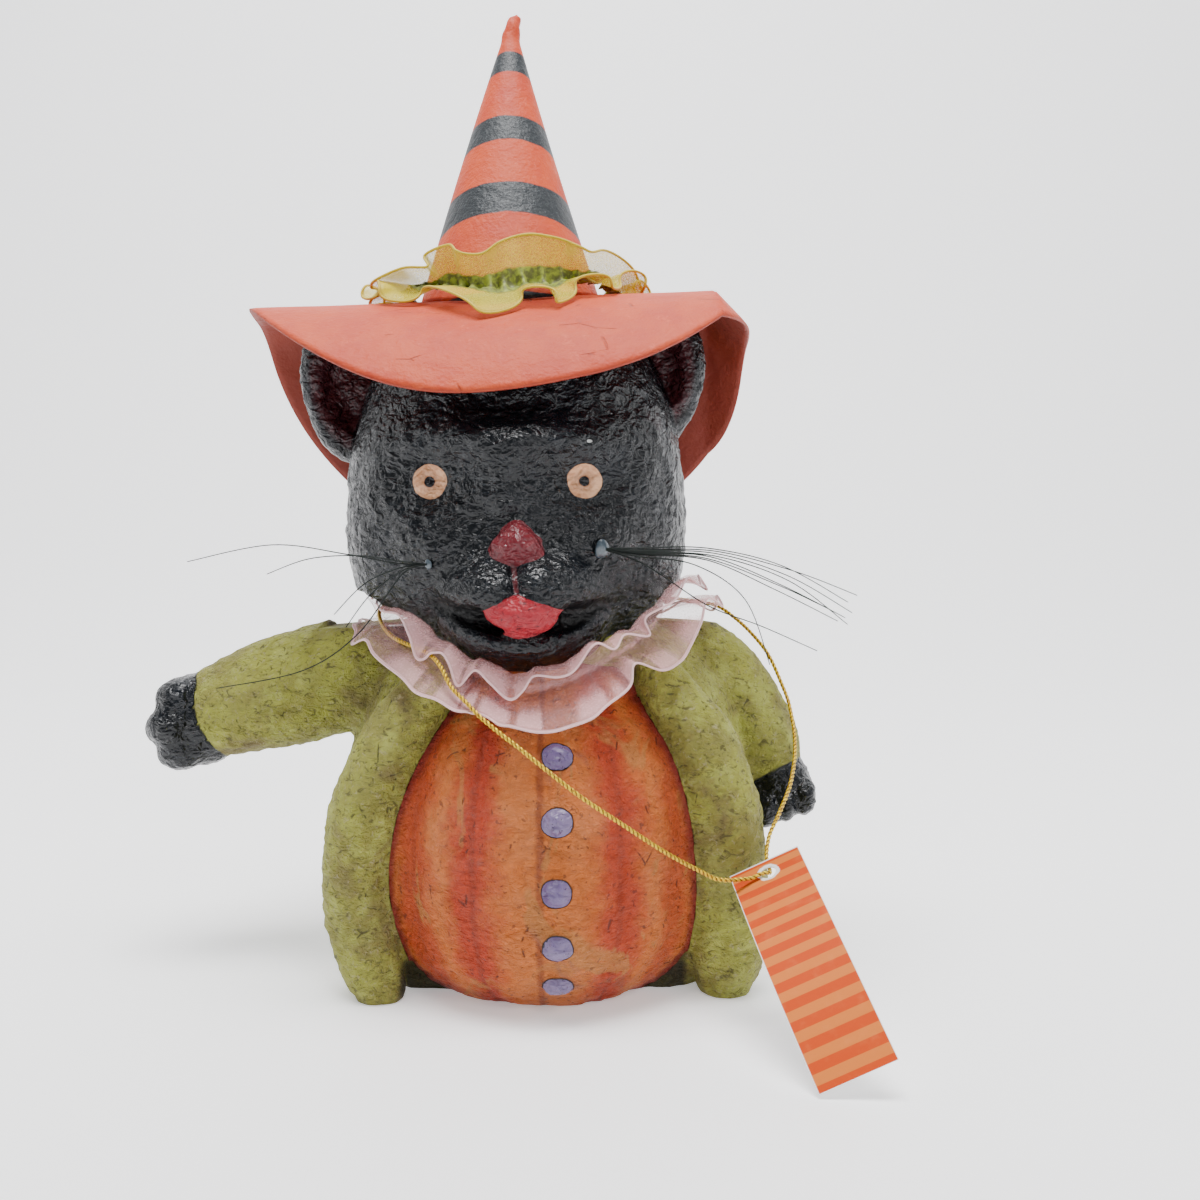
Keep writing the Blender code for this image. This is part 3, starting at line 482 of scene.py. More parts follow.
def carve_face(p):
    """Brow, eye sockets, muzzle puffs, mouth and lower lip, pushed into the front of the head."""
    x, z = p[:, 0] - face_middle(p[:, 2]), p[:, 2]
    front = ramp(-p[:, 1], 14, 34)
    depth = 4.2 * hill(z - 189, 6.5) * hill(x, 36) - 2.6 * hill(z - 199, 6) * hill(x, 34)
    for side in (-25, 25):
        depth -= 4.6 * hill(np.hypot(x - side, (z - 175) * 1.15), 11.5)
        depth += 2.6 * hill(np.hypot(x - side * 1.15, (z - 157) * 1.3), 10)
        depth -= 1.8 * hill(np.hypot(x - side * 1.7, z - 146), 8)
    depth += 4.0 * hill(x, 7) * ramp(z, 158, 166) * (1 - ramp(z, 176, 190))
    for side in (-12.5, 12.5):
        depth += 4.4 * hill(np.hypot(x - side, (z - 141.5) * 1.25), 10.5)
    depth -= 2.2 * hill(x, 2.6) * ramp(z, 130, 134) * (1 - ramp(z, 147, 151))
    roof, floor = mouth_edges(x)
    mouth = ramp(roof - z, -0.5, 2.0) * ramp(z - floor, -1.5, 1.5) * (1 - ramp(np.abs(x), 25, 34))
    depth -= (4.5 + 8.0 * hill(x, 19)) * mouth
    lip = 2.4 * hill(z - 120.2 - 0.006 * x ** 2, 3.2) * hill(x, 18) + 1.6 * hill(z - 116, 5) * hill(x, 22)
    depth += lip
    p[:, 1] -= depth * front
    return p


EYES = ((-37.0, 174.2), (14.0, 174.5))


def fuse(forms, voxel, relax):
    """One skin round overlapping forms; points come back in units, as the forms do."""
    skin = put("skin", *gather_forms(forms))
    remesh = skin.modifiers.new("fuse", "REMESH")
    remesh.mode = "VOXEL"
    remesh.voxel_size = voxel
    smooth = skin.modifiers.new("relax", "SMOOTH")
    smooth.factor = 0.5
    smooth.iterations = relax
    bake_modifiers(skin)
    points = vertex_rows(skin.data, "co")
    faces = [tuple(p.vertices) for p in skin.data.polygons]
    bpy.data.objects.remove(skin, do_unlink=True)
    return points, faces


def tree_of(form):
    return BVHTree.FromPolygons([Vector(v) for v in form[0]], form[1])


def front_hit(tree, x, z, start=-1000.0):
    """Where a look from the front meets the form, and its normal there."""
    return tree.ray_cast(Vector((x, start, z)), Vector((0, 1, 0)))[:2]


def nose_form(head):
    nose_y = front_hit(head, -7.8, 151.5)[0].y
    nose, faces = blob((0, 0, 0), (8.6, 6.6, 7.4), 2.2)
    nose[:, 0] *= 1.0 - 0.55 * ramp(nose[:, 2], -1, 8) - 0.30 * ramp(-nose[:, 2], 3, 8)
    nose = nose + 0.35 * lumps(nose, 4.0, 8, 1)[:, None]
    return nose + np.array((-7.8, nose_y - 1.3, 153.6)), faces


def tongue_form(head):
    y = front_hit(head, -4.0, 141)[0].y + 5.0
    points, faces = blob((0, 0, 0), (11.9, 7.0, 6.4), 2.3)
    points[:, 2] *= 1.0 - 0.22 * ramp(np.abs(points[:, 0]), 3, 12)
    points = points + 0.5 * lumps(points, 4.5, 12, 2)[:, None]
    return turned(points, (14, 0, 0), (-5.6, y, 132.3)), faces


BELLY_CENTRE = (0.0, -4.0, 50.0)
BELLY_RIBS = (-64, -37, -17.5, 0, 21, 40, 64)


def bearings(points, centre):
    """Each point as seen from the centre, and its angle in degrees round it from the front."""
    away = points - np.array(centre)
    return away, np.degrees(np.arctan2(away[:, 0], -away[:, 1]))


def belly_form():
    points, faces = blob(BELLY_CENTRE, (66, 74.5, 61), 2.5, behind=56)
    away, angle = bearings(points, BELLY_CENTRE)
    groove = sum(hill(angle - rib, 5.0) for rib in BELLY_RIBS)
    sink = 1.9 * groove * (0.35 + 0.65 * hill(away[:, 2], 48))
    points[:, :2] -= (away[:, :2] / np.hypot(away[:, 0], away[:, 1])[:, None].clip(1.0)) * sink[:, None]
    return points, faces


def coat_form():
    centre = (0.0, 3.0, 50.0)
    points, faces = blob(centre, (76.5, 66, 79), 2.7)
    away, angle = bearings(points, centre)
    opening = 1 - ramp(np.abs(angle - 1), 30, 52)
    folds = 1.3 * np.sin(np.radians(angle * 7 + 30)) * ramp(np.abs(angle), 60, 85)
    folds = folds * ramp(-away[:, 2], -45, 20)
    waist = 2.5 * hill(away[:, 2] - 34, 12) * ramp(np.abs(angle), 40, 70)
    scale = 1 - 0.20 * opening + (folds - waist) / 70.0
    points[:, :2] = np.array(centre[:2]) + away[:, :2] * scale[:, None]
    return points, faces


def coat_edges():
    left = [(-36, -40, 109, 8), (-42, -46.5, 100, 9.5), (-51, -50, 86, 10.8), (-59.5, -49.5, 65, 11.5),
            (-63, -46, 44, 12), (-61.5, -44.5, 24, 12), (-57.5, -46.5, 8, 10.5), (-56, -47, 4, 9)]
    right = [(39, -38, 109, 8), (45, -43.5, 100, 9.5), (54, -46.5, 86, 11.2), (60, -46, 65, 12.5),
             (62.5, -43, 44, 13.5), (63, -40.5, 24, 13.5), (62.5, -40, 10, 12), (62, -40, 5, 10)]
    return [limb(left), limb(right)]


def shoulders_and_sleeves():
    left_arm = [(-34, 6, 98, 23), (-52, 4, 102.5, 23.5), (-68, 2, 105, 23), (-80, 1, 103, 20.8),
                (-92, 0, 99.8, 20.5), (-105, 0, 96, 19.6), (-117, 0, 92, 17.6)]
    right_arm = [(36, 8, 100, 23), (50, 8, 103.5, 22), (61, 8, 100.5, 19), (70, 7, 92, 17),
                 (77, 6, 82, 15.5), (80, 5, 76, 14.5)]
    return [limb(left_arm), limb(right_arm), blob((0, -2, 112), (42, 40, 20), 2.2)]


def bib_form():
    """The top of the belly, up to the chin between the coat's edges."""
    return blob((0, -15, 97), (38, 41, 20), 2.3)


def paw_forms():
    forms = [blob((-130, 0, 87.5), (15.5, 15, 17), 2.3, turn=(0, -14, 0)),
             blob((86.5, 3, 63.5), (11, 12, 13), 2.3, turn=(0, -28, 0))]
    for lift, push in ((9.5, -2), (0, -4), (-9.5, -1)):
        finger = (-137 + abs(lift) * 0.3, push - 3, 87 + lift)
        forms.append(blob(finger, (9.5, 11, 7.6), 2.2, turn=(0, -14, 0)))
    for shift in (-6, 1, 8):
        forms.append(blob((86.5 + shift, -4, 57 + shift * 0.35), (4.3, 7.5, 7), 2.0))
    return forms


BUTTON_X = 5.5
BUTTON_HEIGHTS = (102.0, 86.5, 67.0, 45.0, 26.5, 11.5)


def button_forms(belly):
    forms = []
    for z in BUTTON_HEIGHTS:
        hit, normal = front_hit(belly, BUTTON_X, z)
        tilt = math.degrees(math.asin(max(-1.0, min(1.0, normal.z))))
        forms.append(blob((BUTTON_X, hit.y - 0.6, z), (4.3, 2.8, 3.9), 2.4, turn=(-tilt, 0, 0)))
    return forms


def eye_forms(head):
    return [blob((x, front_hit(head, x, z)[0].y + 0.3, z), (5.8, 1.7, 5.8), 2.6) for x, z in EYES]


def collar_groove():
    """The slot under the cheeks and the nape in which the gathered ribbon sits, in metres."""
    sectors = 48
    inset = 0.0017
    verts = []
    for reach, height in ((-inset, -1.2), (0.034, -1.8), (0.034, 2.2), (-inset, 1.0)):
        for k in range(sectors):
            angle = around(k, sectors)
            out = Vector((math.sin(angle), -math.cos(angle), 0))
            verts.append(collar_gather(angle) + out * reach + Vector((0, 0, 0.0042 * height)))
    faces = ring_faces(4, sectors)
    for k in range(sectors):
        after = (k + 1) % sectors
        faces.append((3 * sectors + k, k, after, 3 * sectors + after))
    return verts, faces


def ring_faces(rows, sectors, start=0):
    faces = []
    for i in range(rows - 1):
        for k in range(sectors):
            a, b = start + i * sectors + k, start + i * sectors + (k + 1) % sectors
            faces.append((a, a + sectors, b + sectors, b))
    return faces


def cut_with(obj, name, verts, faces):
    cutter = put(name, verts, faces)
    face_outward(cutter)
    modifier = obj.modifiers.new(name, "BOOLEAN")
    modifier.solver = "MANIFOLD"
    modifier.object = cutter
    return cutter


def nearest_to(groups, points):
    """For each named group of forms, the distance of every point to its surface."""
    distances = {}
    for name, forms in groups.items():
        tree = tree_of(gather_forms(forms))
        distances[name] = np.array([tree.find_nearest(p)[3] for p in points])
    return distances


def build_figure():
    s = settings("cat_figure")
    unit = s.height / UNITS_HIGH
    head = fuse(head_forms(), 1.1, 8)
    head = (carve_face(head[0]), head[1])
    head_tree, belly = tree_of(head), belly_form()
    ears = [ear_form(*ear) for ear in EARS]
    groups = {
        "fur": [head] + ears,
        "coat": [coat_form()] + coat_edges() + shoulders_and_sleeves(),
        "belly": [belly, bib_form()],
        "paws": paw_forms(),
        "buttons": button_forms(tree_of(belly)),
        "nose": [nose_form(head_tree)],
        "tongue": [tongue_form(head_tree)],
        "eyes": eye_forms(head_tree),
    }
    points, faces = fuse([f for forms in groups.values() for f in forms], s.voxel / unit, 2)
    figure = put("papier_mache_cat", points * unit, faces, figure_paint())
    normals = vertex_rows(figure.data, "normal")
    fine = lumps(points, 3.4, 5, 2)
    coarse = lumps(points, 13.0, 3, 2)
    wrinkle = 1 - np.abs(lumps(points * np.array((1.0, 1.0, 1.5)), 5.0, 9, 2)) * 1.6
    eye_far = np.min([np.hypot(points[:, 0] - x, points[:, 2] - z) for x, z in EYES], axis=0)
    smooth_spots = 1 - 0.75 * np.exp(-eye_far / 7.0) * (points[:, 1] < -30)
    push = s.lump_depth * (0.55 * coarse + 0.50 * fine + 0.55 * wrinkle) * smooth_spots
    move_to(figure.data, points * unit + normals * push[:, None])
    reach = 0.3
    cutters = [
        cut_with(figure, "below_floor", *box_form((-reach, -reach, -0.2), (reach, reach, 0.0))),
        cut_with(figure, "hat_seat", *brim_block()),
        cut_with(figure, "collar_slot", *collar_groove()),
    ]
    bake_modifiers(figure)
    for cutter in cutters:
        bpy.data.objects.remove(cutter, do_unlink=True)
    points = vertex_rows(figure.data, "co") / unit
    far = nearest_to(groups, points)
    for name in ("coat", "belly", "paws", "buttons", "nose", "tongue", "eyes"):
        others = np.min([far[other] for other in far if other != name], axis=0)
        store(figure.data, "on_" + name, others - far[name])
    hollow = np.full(len(points), OUTSIDE)
    head_far = nearest_to({"head": [head]}, points)["head"]
    for centre, radii, turn in EARS:
        local = (points - np.array(centre)) @ spin_of(turn)
        across = np.hypot(local[:, 0] / radii[0], local[:, 2] / radii[2])
        hollow = np.maximum(hollow, np.where(local[:, 1] < 4, (0.84 - across) * 20, OUTSIDE))
    store(figure.data, "ear_hollow", np.minimum(hollow, (head_far - 1.2) * 2))
    x, z = points[:, 0] - face_middle(points[:, 2]), points[:, 2]
    roof, floor = mouth_edges(x)
    inside = np.minimum(np.minimum(roof - z, z - floor), 32 - np.abs(x))
    store(figure.data, "mouth", np.where(points[:, 1] < -40, inside, OUTSIDE))
    figure.data.shade_smooth()
    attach(figure, "root")
    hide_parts("cat_figure")


def box_form(low, high):
    corners = [(x, y, z) for z in (low[2], high[2]) for y in (low[1], high[1]) for x in (low[0], high[0])]
    faces = [(0, 2, 3, 1), (4, 5, 7, 6), (0, 1, 5, 4), (2, 6, 7, 3), (0, 4, 6, 2), (1, 3, 7, 5)]
    return corners, faces


# Angle round the belly, half width in degrees and strength of each red band, then of each thin dark line,
# painted shade down a seam's groove.
SEAM_BANDS = (
    (-64, 21, 1.0), (-37, 12, 0.80), (-17.5, 10, 1.0), (21, 11, 0.95), (40, 10, 0.65), (62, 19, 1.0),
)
SEAM_SHADE_LINES = ((-37, 0.2), (-17.5, 0.35), (0, 0.55), (21, 0.3))


def figure_paint():
    """Brush-painted papier-mache: each region's paint over one rough, fibrous skin."""
    s = settings("cat_figure")
    p = Paint("painted_papier_mache")
    unit = s.height / UNITS_HIGH
    x, y, z = p.axes()
    blotch = p.noise(0.020, 4.0, 0.6)
    grain = p.noise(0.0018, 4.0, 0.62, 0.8)
    fibre = p.noise(0.0034, 4.0, 0.62, 1.2, p.stretch((1.0, 1.0, 1.6)))
    wrinkle = p.noise(0.0046, 1.5, 0.45, 1.0, p.stretch((1.0, 1.0, 1.5)))
    rumple = p.noise(0.0075, 3.0, 0.55, 0.6)
    wobble = p.uneven(1.5, 0.0045)
    cracks = p.step(p.crack_distance(0.0085, p.stretch((1.0, 1.0, 0.7))), 0.040, 0.008)
    cracks = cracks * p.step(p.noise(0.0065, 3.0, 0.6), 0.58, 0.66, 0.0, 0.85)
    specks = p.step(p.noise(0.0022, 2.0, 0.5), 0.655, 0.70)

    def region(name, soft=0.35, shift=0.0, ragged=True):
        value = p.attribute(name)
        if ragged:
            value = value + wobble
        return p.step(value, shift - soft, shift + soft)

    # Black fur with grey where the brush dragged over the high grain.
    black = p.mix(p.step(fibre, 0.54, 0.74), s.fur, (0.020, 0.0235, 0.0285))
    black = p.mix(p.step(blotch, 0.45, 0.75, 0.0, 0.5), black, (0.0075, 0.0105, 0.0165))
    maroon = p.mix(p.step(grain, 0.4, 0.7), (0.026, 0.0055, 0.008), (0.072, 0.020, 0.024))
    colour_now = p.mix(region("ear_hollow", 1.6), black, maroon)
    colour_now = p.mix(region("mouth", 0.8, -0.2), colour_now, (0.0025, 0.0025, 0.0030))

    # Green coat: yellow-green with a brown wash in the hollows and tan brushed over the lumps.
    green = p.mix(p.step(blotch, 0.38, 0.62), s.coat, (0.265, 0.250, 0.048))
    green = p.mix(p.step(p.noise(0.012, 3.0), 0.50, 0.68, 0.0, 0.85), green, (0.430, 0.445, 0.090))
    wash = p.step(p.noise(0.032, 4.0, 0.65, 0.5), 0.50, 0.70, 0.0, 0.80)
    green = p.mix(wash, green, (0.150, 0.100, 0.042))
    green = p.mix(p.step(grain, 0.55, 0.70, 0.0, 0.60), green, (0.43, 0.375, 0.195))
    green = p.mix(p.step(fibre, 0.46, 0.33, 0.0, 0.75), green, (0.070, 0.058, 0.016))
    green = p.mix(p.most(cracks * 0.75, specks * 0.3), green, (0.018, 0.014, 0.007))
    # Painted shade: the hollow between each coat edge and the belly, just over the floor, is darkened as a
    # shadow gap.
    painted_shade_nook = p.step(abs(x), 0.050, 0.047) * p.step(y, -0.020, -0.024)
    painted_shade_nook = p.step(z, 0.017, 0.009) * painted_shade_nook
    green = p.mix(painted_shade_nook * 0.9, green, (0.016, 0.012, 0.007))
    colour_now = p.mix(region("on_coat"), colour_now, green)

    # Pumpkin belly: a red band down each seam, orange lobes and ochre wear.
    bearing = p.math("ARCTAN2", x, BELLY_CENTRE[1] * unit - y) * math.degrees(1.0)
    angle = bearing + p.uneven(16.0, 0.015, 4.0, 0.65)
    orange = p.mix(p.step(blotch, 0.35, 0.7), s.belly, (0.60, 0.175, 0.042))
    red = 0.0
    for rib, width, depth in SEAM_BANDS:
        offset = abs(angle - float(rib))
        red = p.most(red, p.step(offset, float(width), width * 0.15, 0.0, depth))
    orange = p.mix(red, orange, s.seams)
    # Painted shade: a thin dark line down the groove of some seams.
    fine_angle = bearing + wobble * 0.9
    for rib, depth in SEAM_SHADE_LINES:
        offset = abs(fine_angle - float(rib))
        orange = p.mix(p.step(offset, 1.6, 0.3, 0.0, depth), orange, (0.150, 0.020, 0.008))
    ochre = p.step(p.noise(0.027, 3.0, 0.6, 1.0, p.stretch((1.5, 1.0, 0.7))), 0.56, 0.64, 0.0, 0.80)
    orange = p.mix(ochre, orange, (0.50, 0.185, 0.045))
    smudge = p.step(p.noise(0.024, 4.0, 0.7, 0.6, p.stretch((1.3, 1.0, 0.8))), 0.56, 0.72, 0.0, 0.55)
    orange = p.mix(smudge, orange, (0.215, 0.085, 0.065))
    orange = p.mix(p.step(fibre, 0.38, 0.28, 0.0, 0.65), orange, (0.130, 0.022, 0.008))
    orange = p.mix(p.most(cracks * 0.8, specks * 0.5), orange, (0.030, 0.010, 0.006))
    # Painted shade: the belly darkens to deep red along the coat's edges, where the coat overhangs it.
    coat_edge_shade = p.step(p.attribute("on_coat") + wobble, -5.0, -0.8, 0.0, 0.9)
    orange = p.mix(coat_edge_shade, orange, (0.215, 0.018, 0.012))
    colour_now = p.mix(region("on_belly", ragged=False), colour_now, orange)

    purple = p.mix(p.step(blotch, 0.4, 0.6), s.buttons, (0.185, 0.140, 0.265))
    purple = p.mix(p.step(grain, 0.40, 0.32, 0.0, 0.8), purple, (0.040, 0.022, 0.050))
    colour_now = p.mix(region("on_buttons", 0.2, 0.55, False), colour_now, purple)
    colour_now = p.mix(region("on_paws", 0.4), colour_now, black)

    nose = p.mix(p.step(grain, 0.50, 0.66), s.nose, (0.185, 0.034, 0.040))
    colour_now = p.mix(region("on_nose", 0.2, 0.1, False), colour_now, nose)
    tongue = p.mix(p.step(fibre, 0.44, 0.32), s.tongue, (0.075, 0.004, 0.008))
    tongue = p.mix(p.step(grain, 0.54, 0.70, 0.0, 0.6), tongue, (0.46, 0.060, 0.066))
    colour_now = p.mix(region("on_tongue", 0.2, 0.0, False), colour_now, tongue)

    # Thin broken red line from the nose to the mouth, on the face alone.
    face = p.step(y, -0.050, -0.054)
    lean = x - p.math("MULTIPLY_ADD", z, -FACE_LEAN, face_middle(0.0) * unit)
    lean = lean + wobble * 0.0012
    line = p.step(abs(lean), 0.0011, 0.0005)
    line = line * (p.step(z, 0.1490, 0.1475) * p.step(z, 0.1375, 0.1385))
    line = line * p.step(grain, 0.36, 0.46)
    colour_now = p.mix(line * face, colour_now, (0.090, 0.018, 0.022))

    # Painted eyes: uneven peach discs, a browner iris and a dark pupil with a pale rim.
    for eye_x, eye_z in EYES:
        offset = p.vector("SUBTRACT", p.place, (eye_x * unit, 0.0, eye_z * unit))
        radius = p.vector("LENGTH", p.stretch((1.0, 0.0, 1.0), offset), output="Value")
        radius = radius + wobble * 0.0008
        disc = p.mix(p.step(fibre, 0.38, 0.62), s.eyes, (0.52, 0.245, 0.125))
        iris = p.mix(p.step(grain, 0.4, 0.6), (0.40, 0.190, 0.095), (0.54, 0.290, 0.165))
        disc = p.mix(p.step(radius, 0.0039, 0.0030, 0.0, 0.85), disc, iris)
        disc = p.mix(p.step(radius, 0.0023, 0.0019, 0.0, 0.6), disc, (0.30, 0.120, 0.060))
        disc = p.mix(p.step(radius, 0.0018, 0.0016), disc, (0.004, 0.0035, 0.005))
        share = p.step(radius, 0.0059, 0.0056) * p.step(y, -0.030, -0.034)
        colour_now = p.mix(share, colour_now, disc)

    fleck = p.vector("DISTANCE", p.stretch((1.0, 0.0, 1.6)), (0.0157, 0.0, 0.1873 * 1.6), "Value")
    fleck = p.step(fleck + wobble * 0.0006, 0.0011, 0.0008)
    colour_now = p.mix(fleck * face, colour_now, (0.50, 0.51, 0.50))

    glossy = p.step(grain, 0.3, 0.7, 0.15, 0.28)
    rough = glossy + region("on_coat", 0.5) * 0.45
    rough = rough + region("on_belly", 0.5) * 0.30
    rough = rough + region("mouth", 0.8) * 0.25
    coated = p.most(region("on_coat", 0.5), region("on_belly", 0.5))
    height = wrinkle * 0.46 + rumple * 0.70
    rough_grain = fibre * 0.8 + grain * 0.4
    height = height + rough_grain * p.step(coated, 0.0, 1.0, 0.10, 1.0)
    height = height - cracks * coated * 0.30
    p.set(Base_Color=colour_now, Roughness=rough, Normal=p.bump(height, 0.0036), Specular_IOR_Level=0.36)
    return p.material


# Hat, in its own frame: z runs up the cone, and the brim's ridge passes through the origin.
BRIM_FRONT_BEND, BRIM_BACK_BEND, BRIM_BACK_FLAT, BRIM_END_BEND = 0.0750, 0.0300, 0.0320, 0.0150
BRIM_FOLD_FROM, BRIM_FOLD_ANGLE, BRIM_STEEPEST = 0.0740, math.radians(50), math.radians(68)
CONE_TIP_LEAN, FIT_GAP = 0.0035, 0.0003
HAT_SEAT, HAT_TURN = (-0.0145, 0.0180, 0.2388), (math.radians(-12), math.radians(-2.2), 0)
HAT_MATRIX = Matrix.Translation(HAT_SEAT) @ Euler(HAT_TURN).to_matrix().to_4x4()


def bend_profile(u, w):
    """How far a strip of length w reaches, and drops, as it bends over and then runs straight."""
    radius, flat = BRIM_FRONT_BEND, 0.0
    if w > 0:
        towards_end = float(ramp(abs(u) / settings("cat_hat").brim_radius, 0.32, 0.65))
        radius = BRIM_BACK_BEND + (BRIM_END_BEND - BRIM_BACK_BEND) * towards_end
        flat = min(abs(w), BRIM_BACK_FLAT * (1 - towards_end))
    curved = min(abs(w) - flat, radius * BRIM_STEEPEST)
    straight = abs(w) - flat - curved
    reach = flat + radius * math.sin(curved / radius) + straight * math.cos(BRIM_STEEPEST)
    drop = radius * (1 - math.cos(curved / radius)) + straight * math.sin(BRIM_STEEPEST)
    return reach, drop


def brim_point(u, w, lift=0.0):
    """Where the point u, w of the flat disc lies once the brim is bent, lifted off its middle surface."""
    rim = settings("cat_hat").brim_radius

    def bent(a, b):
        reach, drop = bend_profile(a, b)
        past = max(0.0, a - BRIM_FOLD_FROM)
        wave = 0.0016 * math.sin(a / rim * 5.1 + 0.6) * (b / rim) ** 2
        return Vector((a - past + past * math.cos(BRIM_FOLD_ANGLE), math.copysign(reach, b),
                       wave - drop - past * math.sin(BRIM_FOLD_ANGLE)))
    here = bent(u, w)
    if lift:
        step = 0.0004
        normal = (bent(u + step, w) - bent(u - step, w)).cross(bent(u, w + step) - bent(u, w - step))
        here = here + normal.normalized() * lift
    return here


def polar_rows(shares, sectors):
    """Rings of points on the flat disc, at shares of the way from its hole to its rim."""
    s = settings("cat_hat")
    angles = [around(k, sectors) for k in range(sectors)]
    radii = [s.hole_radius + (s.brim_radius - s.hole_radius) * share for share in shares]
    return [[(radius * math.cos(a), radius * math.sin(a)) for a in angles] for radius in radii]


def brim_block():
    """A thick block whose lower face follows the underside of the brim, in metres."""
    s = settings("cat_hat")
    sectors, rings = 96, 14
    centre_share = -s.hole_radius / (s.brim_radius - s.hole_radius)
    rows = polar_rows([centre_share * share for share in (0.96, 0.5)], sectors)
    rows += polar_rows([0.98 * i / rings for i in range(rings + 1)], sectors)
    near = [brim_point(u, w, -s.card / 2 - FIT_GAP) for row in rows for u, w in row]
    far = [point + Vector((0, 0, 0.05)) for point in near]
    start = len(near)
    faces = ring_faces(len(rows), sectors) + ring_faces(len(rows), sectors, start)
    faces.append(tuple(range(sectors)))
    faces.append(tuple(start + k for k in range(sectors)))
    rim, far_rim = start - sectors, 2 * start - sectors
    for k in range(sectors):
        after = (k + 1) % sectors
        faces.append((rim + k, rim + after, far_rim + after, far_rim + k))
    return [HAT_MATRIX @ p for p in near + far], faces


def brim_top(x, y):
    """Height of the brim's upper face over a point of the hat's frame, near the cone."""
    w = y
    for _ in range(14):
        w += y - math.copysign(bend_profile(x, w)[0], w)
    return brim_point(x, w, settings("cat_hat").card / 2).z


def cone_radius(height):
    s = settings("cat_hat")
    return s.cone_radius * max(1 - height / s.cone_height, 0.0)


def cone_axis(height):
    """How far the cone's middle leans aside at a height."""
    share = max(0.0, height / settings("cat_hat").cone_height)
    crook = max(0.0, share - 0.9) / 0.1
    return CONE_TIP_LEAN * share ** 2 + 0.0024 * crook ** 2


def cone_foot_radius(angle):
    """Radius at which the cone meets the brim's upper face."""
    radius = settings("cat_hat").cone_radius
    for _ in range(5):
        radius = cone_radius(brim_top(radius * math.cos(angle), radius * math.sin(angle)))
    return radius


def build_brim():
    """The bent disc of card, with soft dents and a crease at its curled end."""
    s = settings("cat_hat")
    sectors, rings = 240, 30
    shares = [i / rings for i in range(rings + 1)]
    verts = []
    rows = []
    for lift, order in ((1, shares), (-1, shares[::-1])):
        for row in polar_rows(order, sectors):
            rows.extend((u, w, lift) for u, w in row)
    flat = np.array([(u, w, 0.0) for u, w, _ in rows])
    dents = 0.0005 * lumps(flat, 0.026, 4, 2) * ramp(np.hypot(flat[:, 0], flat[:, 1]), 0.045, 0.080)
    for (u, w, lift), dent in zip(rows, dents):
        edge = ramp(math.hypot(u, w), s.brim_radius - 0.0012, s.brim_radius)
        verts.append(HAT_MATRIX @ brim_point(u, w, lift * s.card / 2 * (1 - 0.35 * edge) + dent * 0.5))
    count = 2 * len(shares)
    faces = ring_faces(count, sectors)
    last = (count - 1) * sectors
    faces += [(last + k, k, (k + 1) % sectors, last + (k + 1) % sectors) for k in range(sectors)]
    brim = put("paper_hat_brim", verts, faces, brim_paint())
    store(brim.data, "rim", [math.hypot(u, w) / s.brim_radius for u, w, _ in rows])
    store(brim.data, "under", [1.0 if lift < 0 else 0.0 for _, _, lift in rows])
    face_outward(brim)
    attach(brim, "root")
    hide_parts("hat_brim")


LAP_ANGLE = 1.35


def build_cone():
    """The rolled cone with its lapped seam at the back and a wrinkled, crooked tip."""
    s = settings("cat_hat")
    sectors, levels = 160, 96
    feet = []
    for k in range(sectors):
        angle = around(k, sectors)
        foot = cone_foot_radius(angle)
        feet.append(brim_top(foot * math.cos(angle), foot * math.sin(angle)) + FIT_GAP)
    verts, heights, asides = [], [], []

    def ring(share, inset):
        for k in range(sectors):
            angle = around(k, sectors)
            height = feet[k] + (s.cone_height * 0.992 - feet[k]) * share
            crumple = ramp(share, 0.89, 0.97)
            radius = cone_radius(height) - inset + 0.0014 * crumple * (1 - ramp(share, 0.985, 1.0))
            radius *= 1 + 0.12 * crumple * math.sin(2 * angle + 90 * share)
            past = angle - LAP_ANGLE
            if not inset and math.cos(past) > 0:
                lap = 0.00035 * ramp(math.sin(past), 0.0, 0.02) * (1 - ramp(share, 0.9, 0.95))
                radius += lap * (1 - ramp(abs(past), 0.25, 0.5))
            x = cone_axis(height) + radius * math.cos(angle)
            verts.append(HAT_MATRIX @ Vector((x, radius * math.sin(angle), height)))
            heights.append(height / s.cone_height)
            asides.append(radius * (1 + math.sin(angle)) / s.cone_height)
    inner = [i / 20 for i in range(18)]
    for share in reversed(inner):
        ring(share, s.card)
    outer = [1 - (1 - i / levels) ** 1.25 for i in range(levels + 1)]
    for share in outer:
        ring(share, 0.0)
    rows = len(inner) + len(outer)
    faces = ring_faces(rows, sectors)
    faces.append(tuple(range(sectors)))
    faces.append(tuple((rows - 1) * sectors + k for k in range(sectors)))
    cone = put("paper_hat_cone", verts, faces, cone_paint())
    store(cone.data, "height", heights)
    store(cone.data, "aside", asides)
    face_outward(cone)
    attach(cone, "root")
    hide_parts("hat_cone")


def card_base(p):
    """Mottled orange paint on card: its colour and the height of its brush marks."""
    s = settings("cat_hat")
    blotch = p.noise(0.018, 5.0, 0.65)
    grain = p.noise(0.0012, 3.0, 0.6)
    paint = p.mix(p.step(blotch, 0.35, 0.70), s.paint, (0.470, 0.044, 0.014))
    paint = p.mix(p.step(p.noise(0.0042, 3.0, 0.7), 0.58, 0.75, 0.0, 0.35), paint, (0.76, 0.150, 0.075))
    paint = p.mix(p.step(grain, 0.30, 0.20, 0.0, 0.5), paint, (0.42, 0.060, 0.030))
    return paint, grain


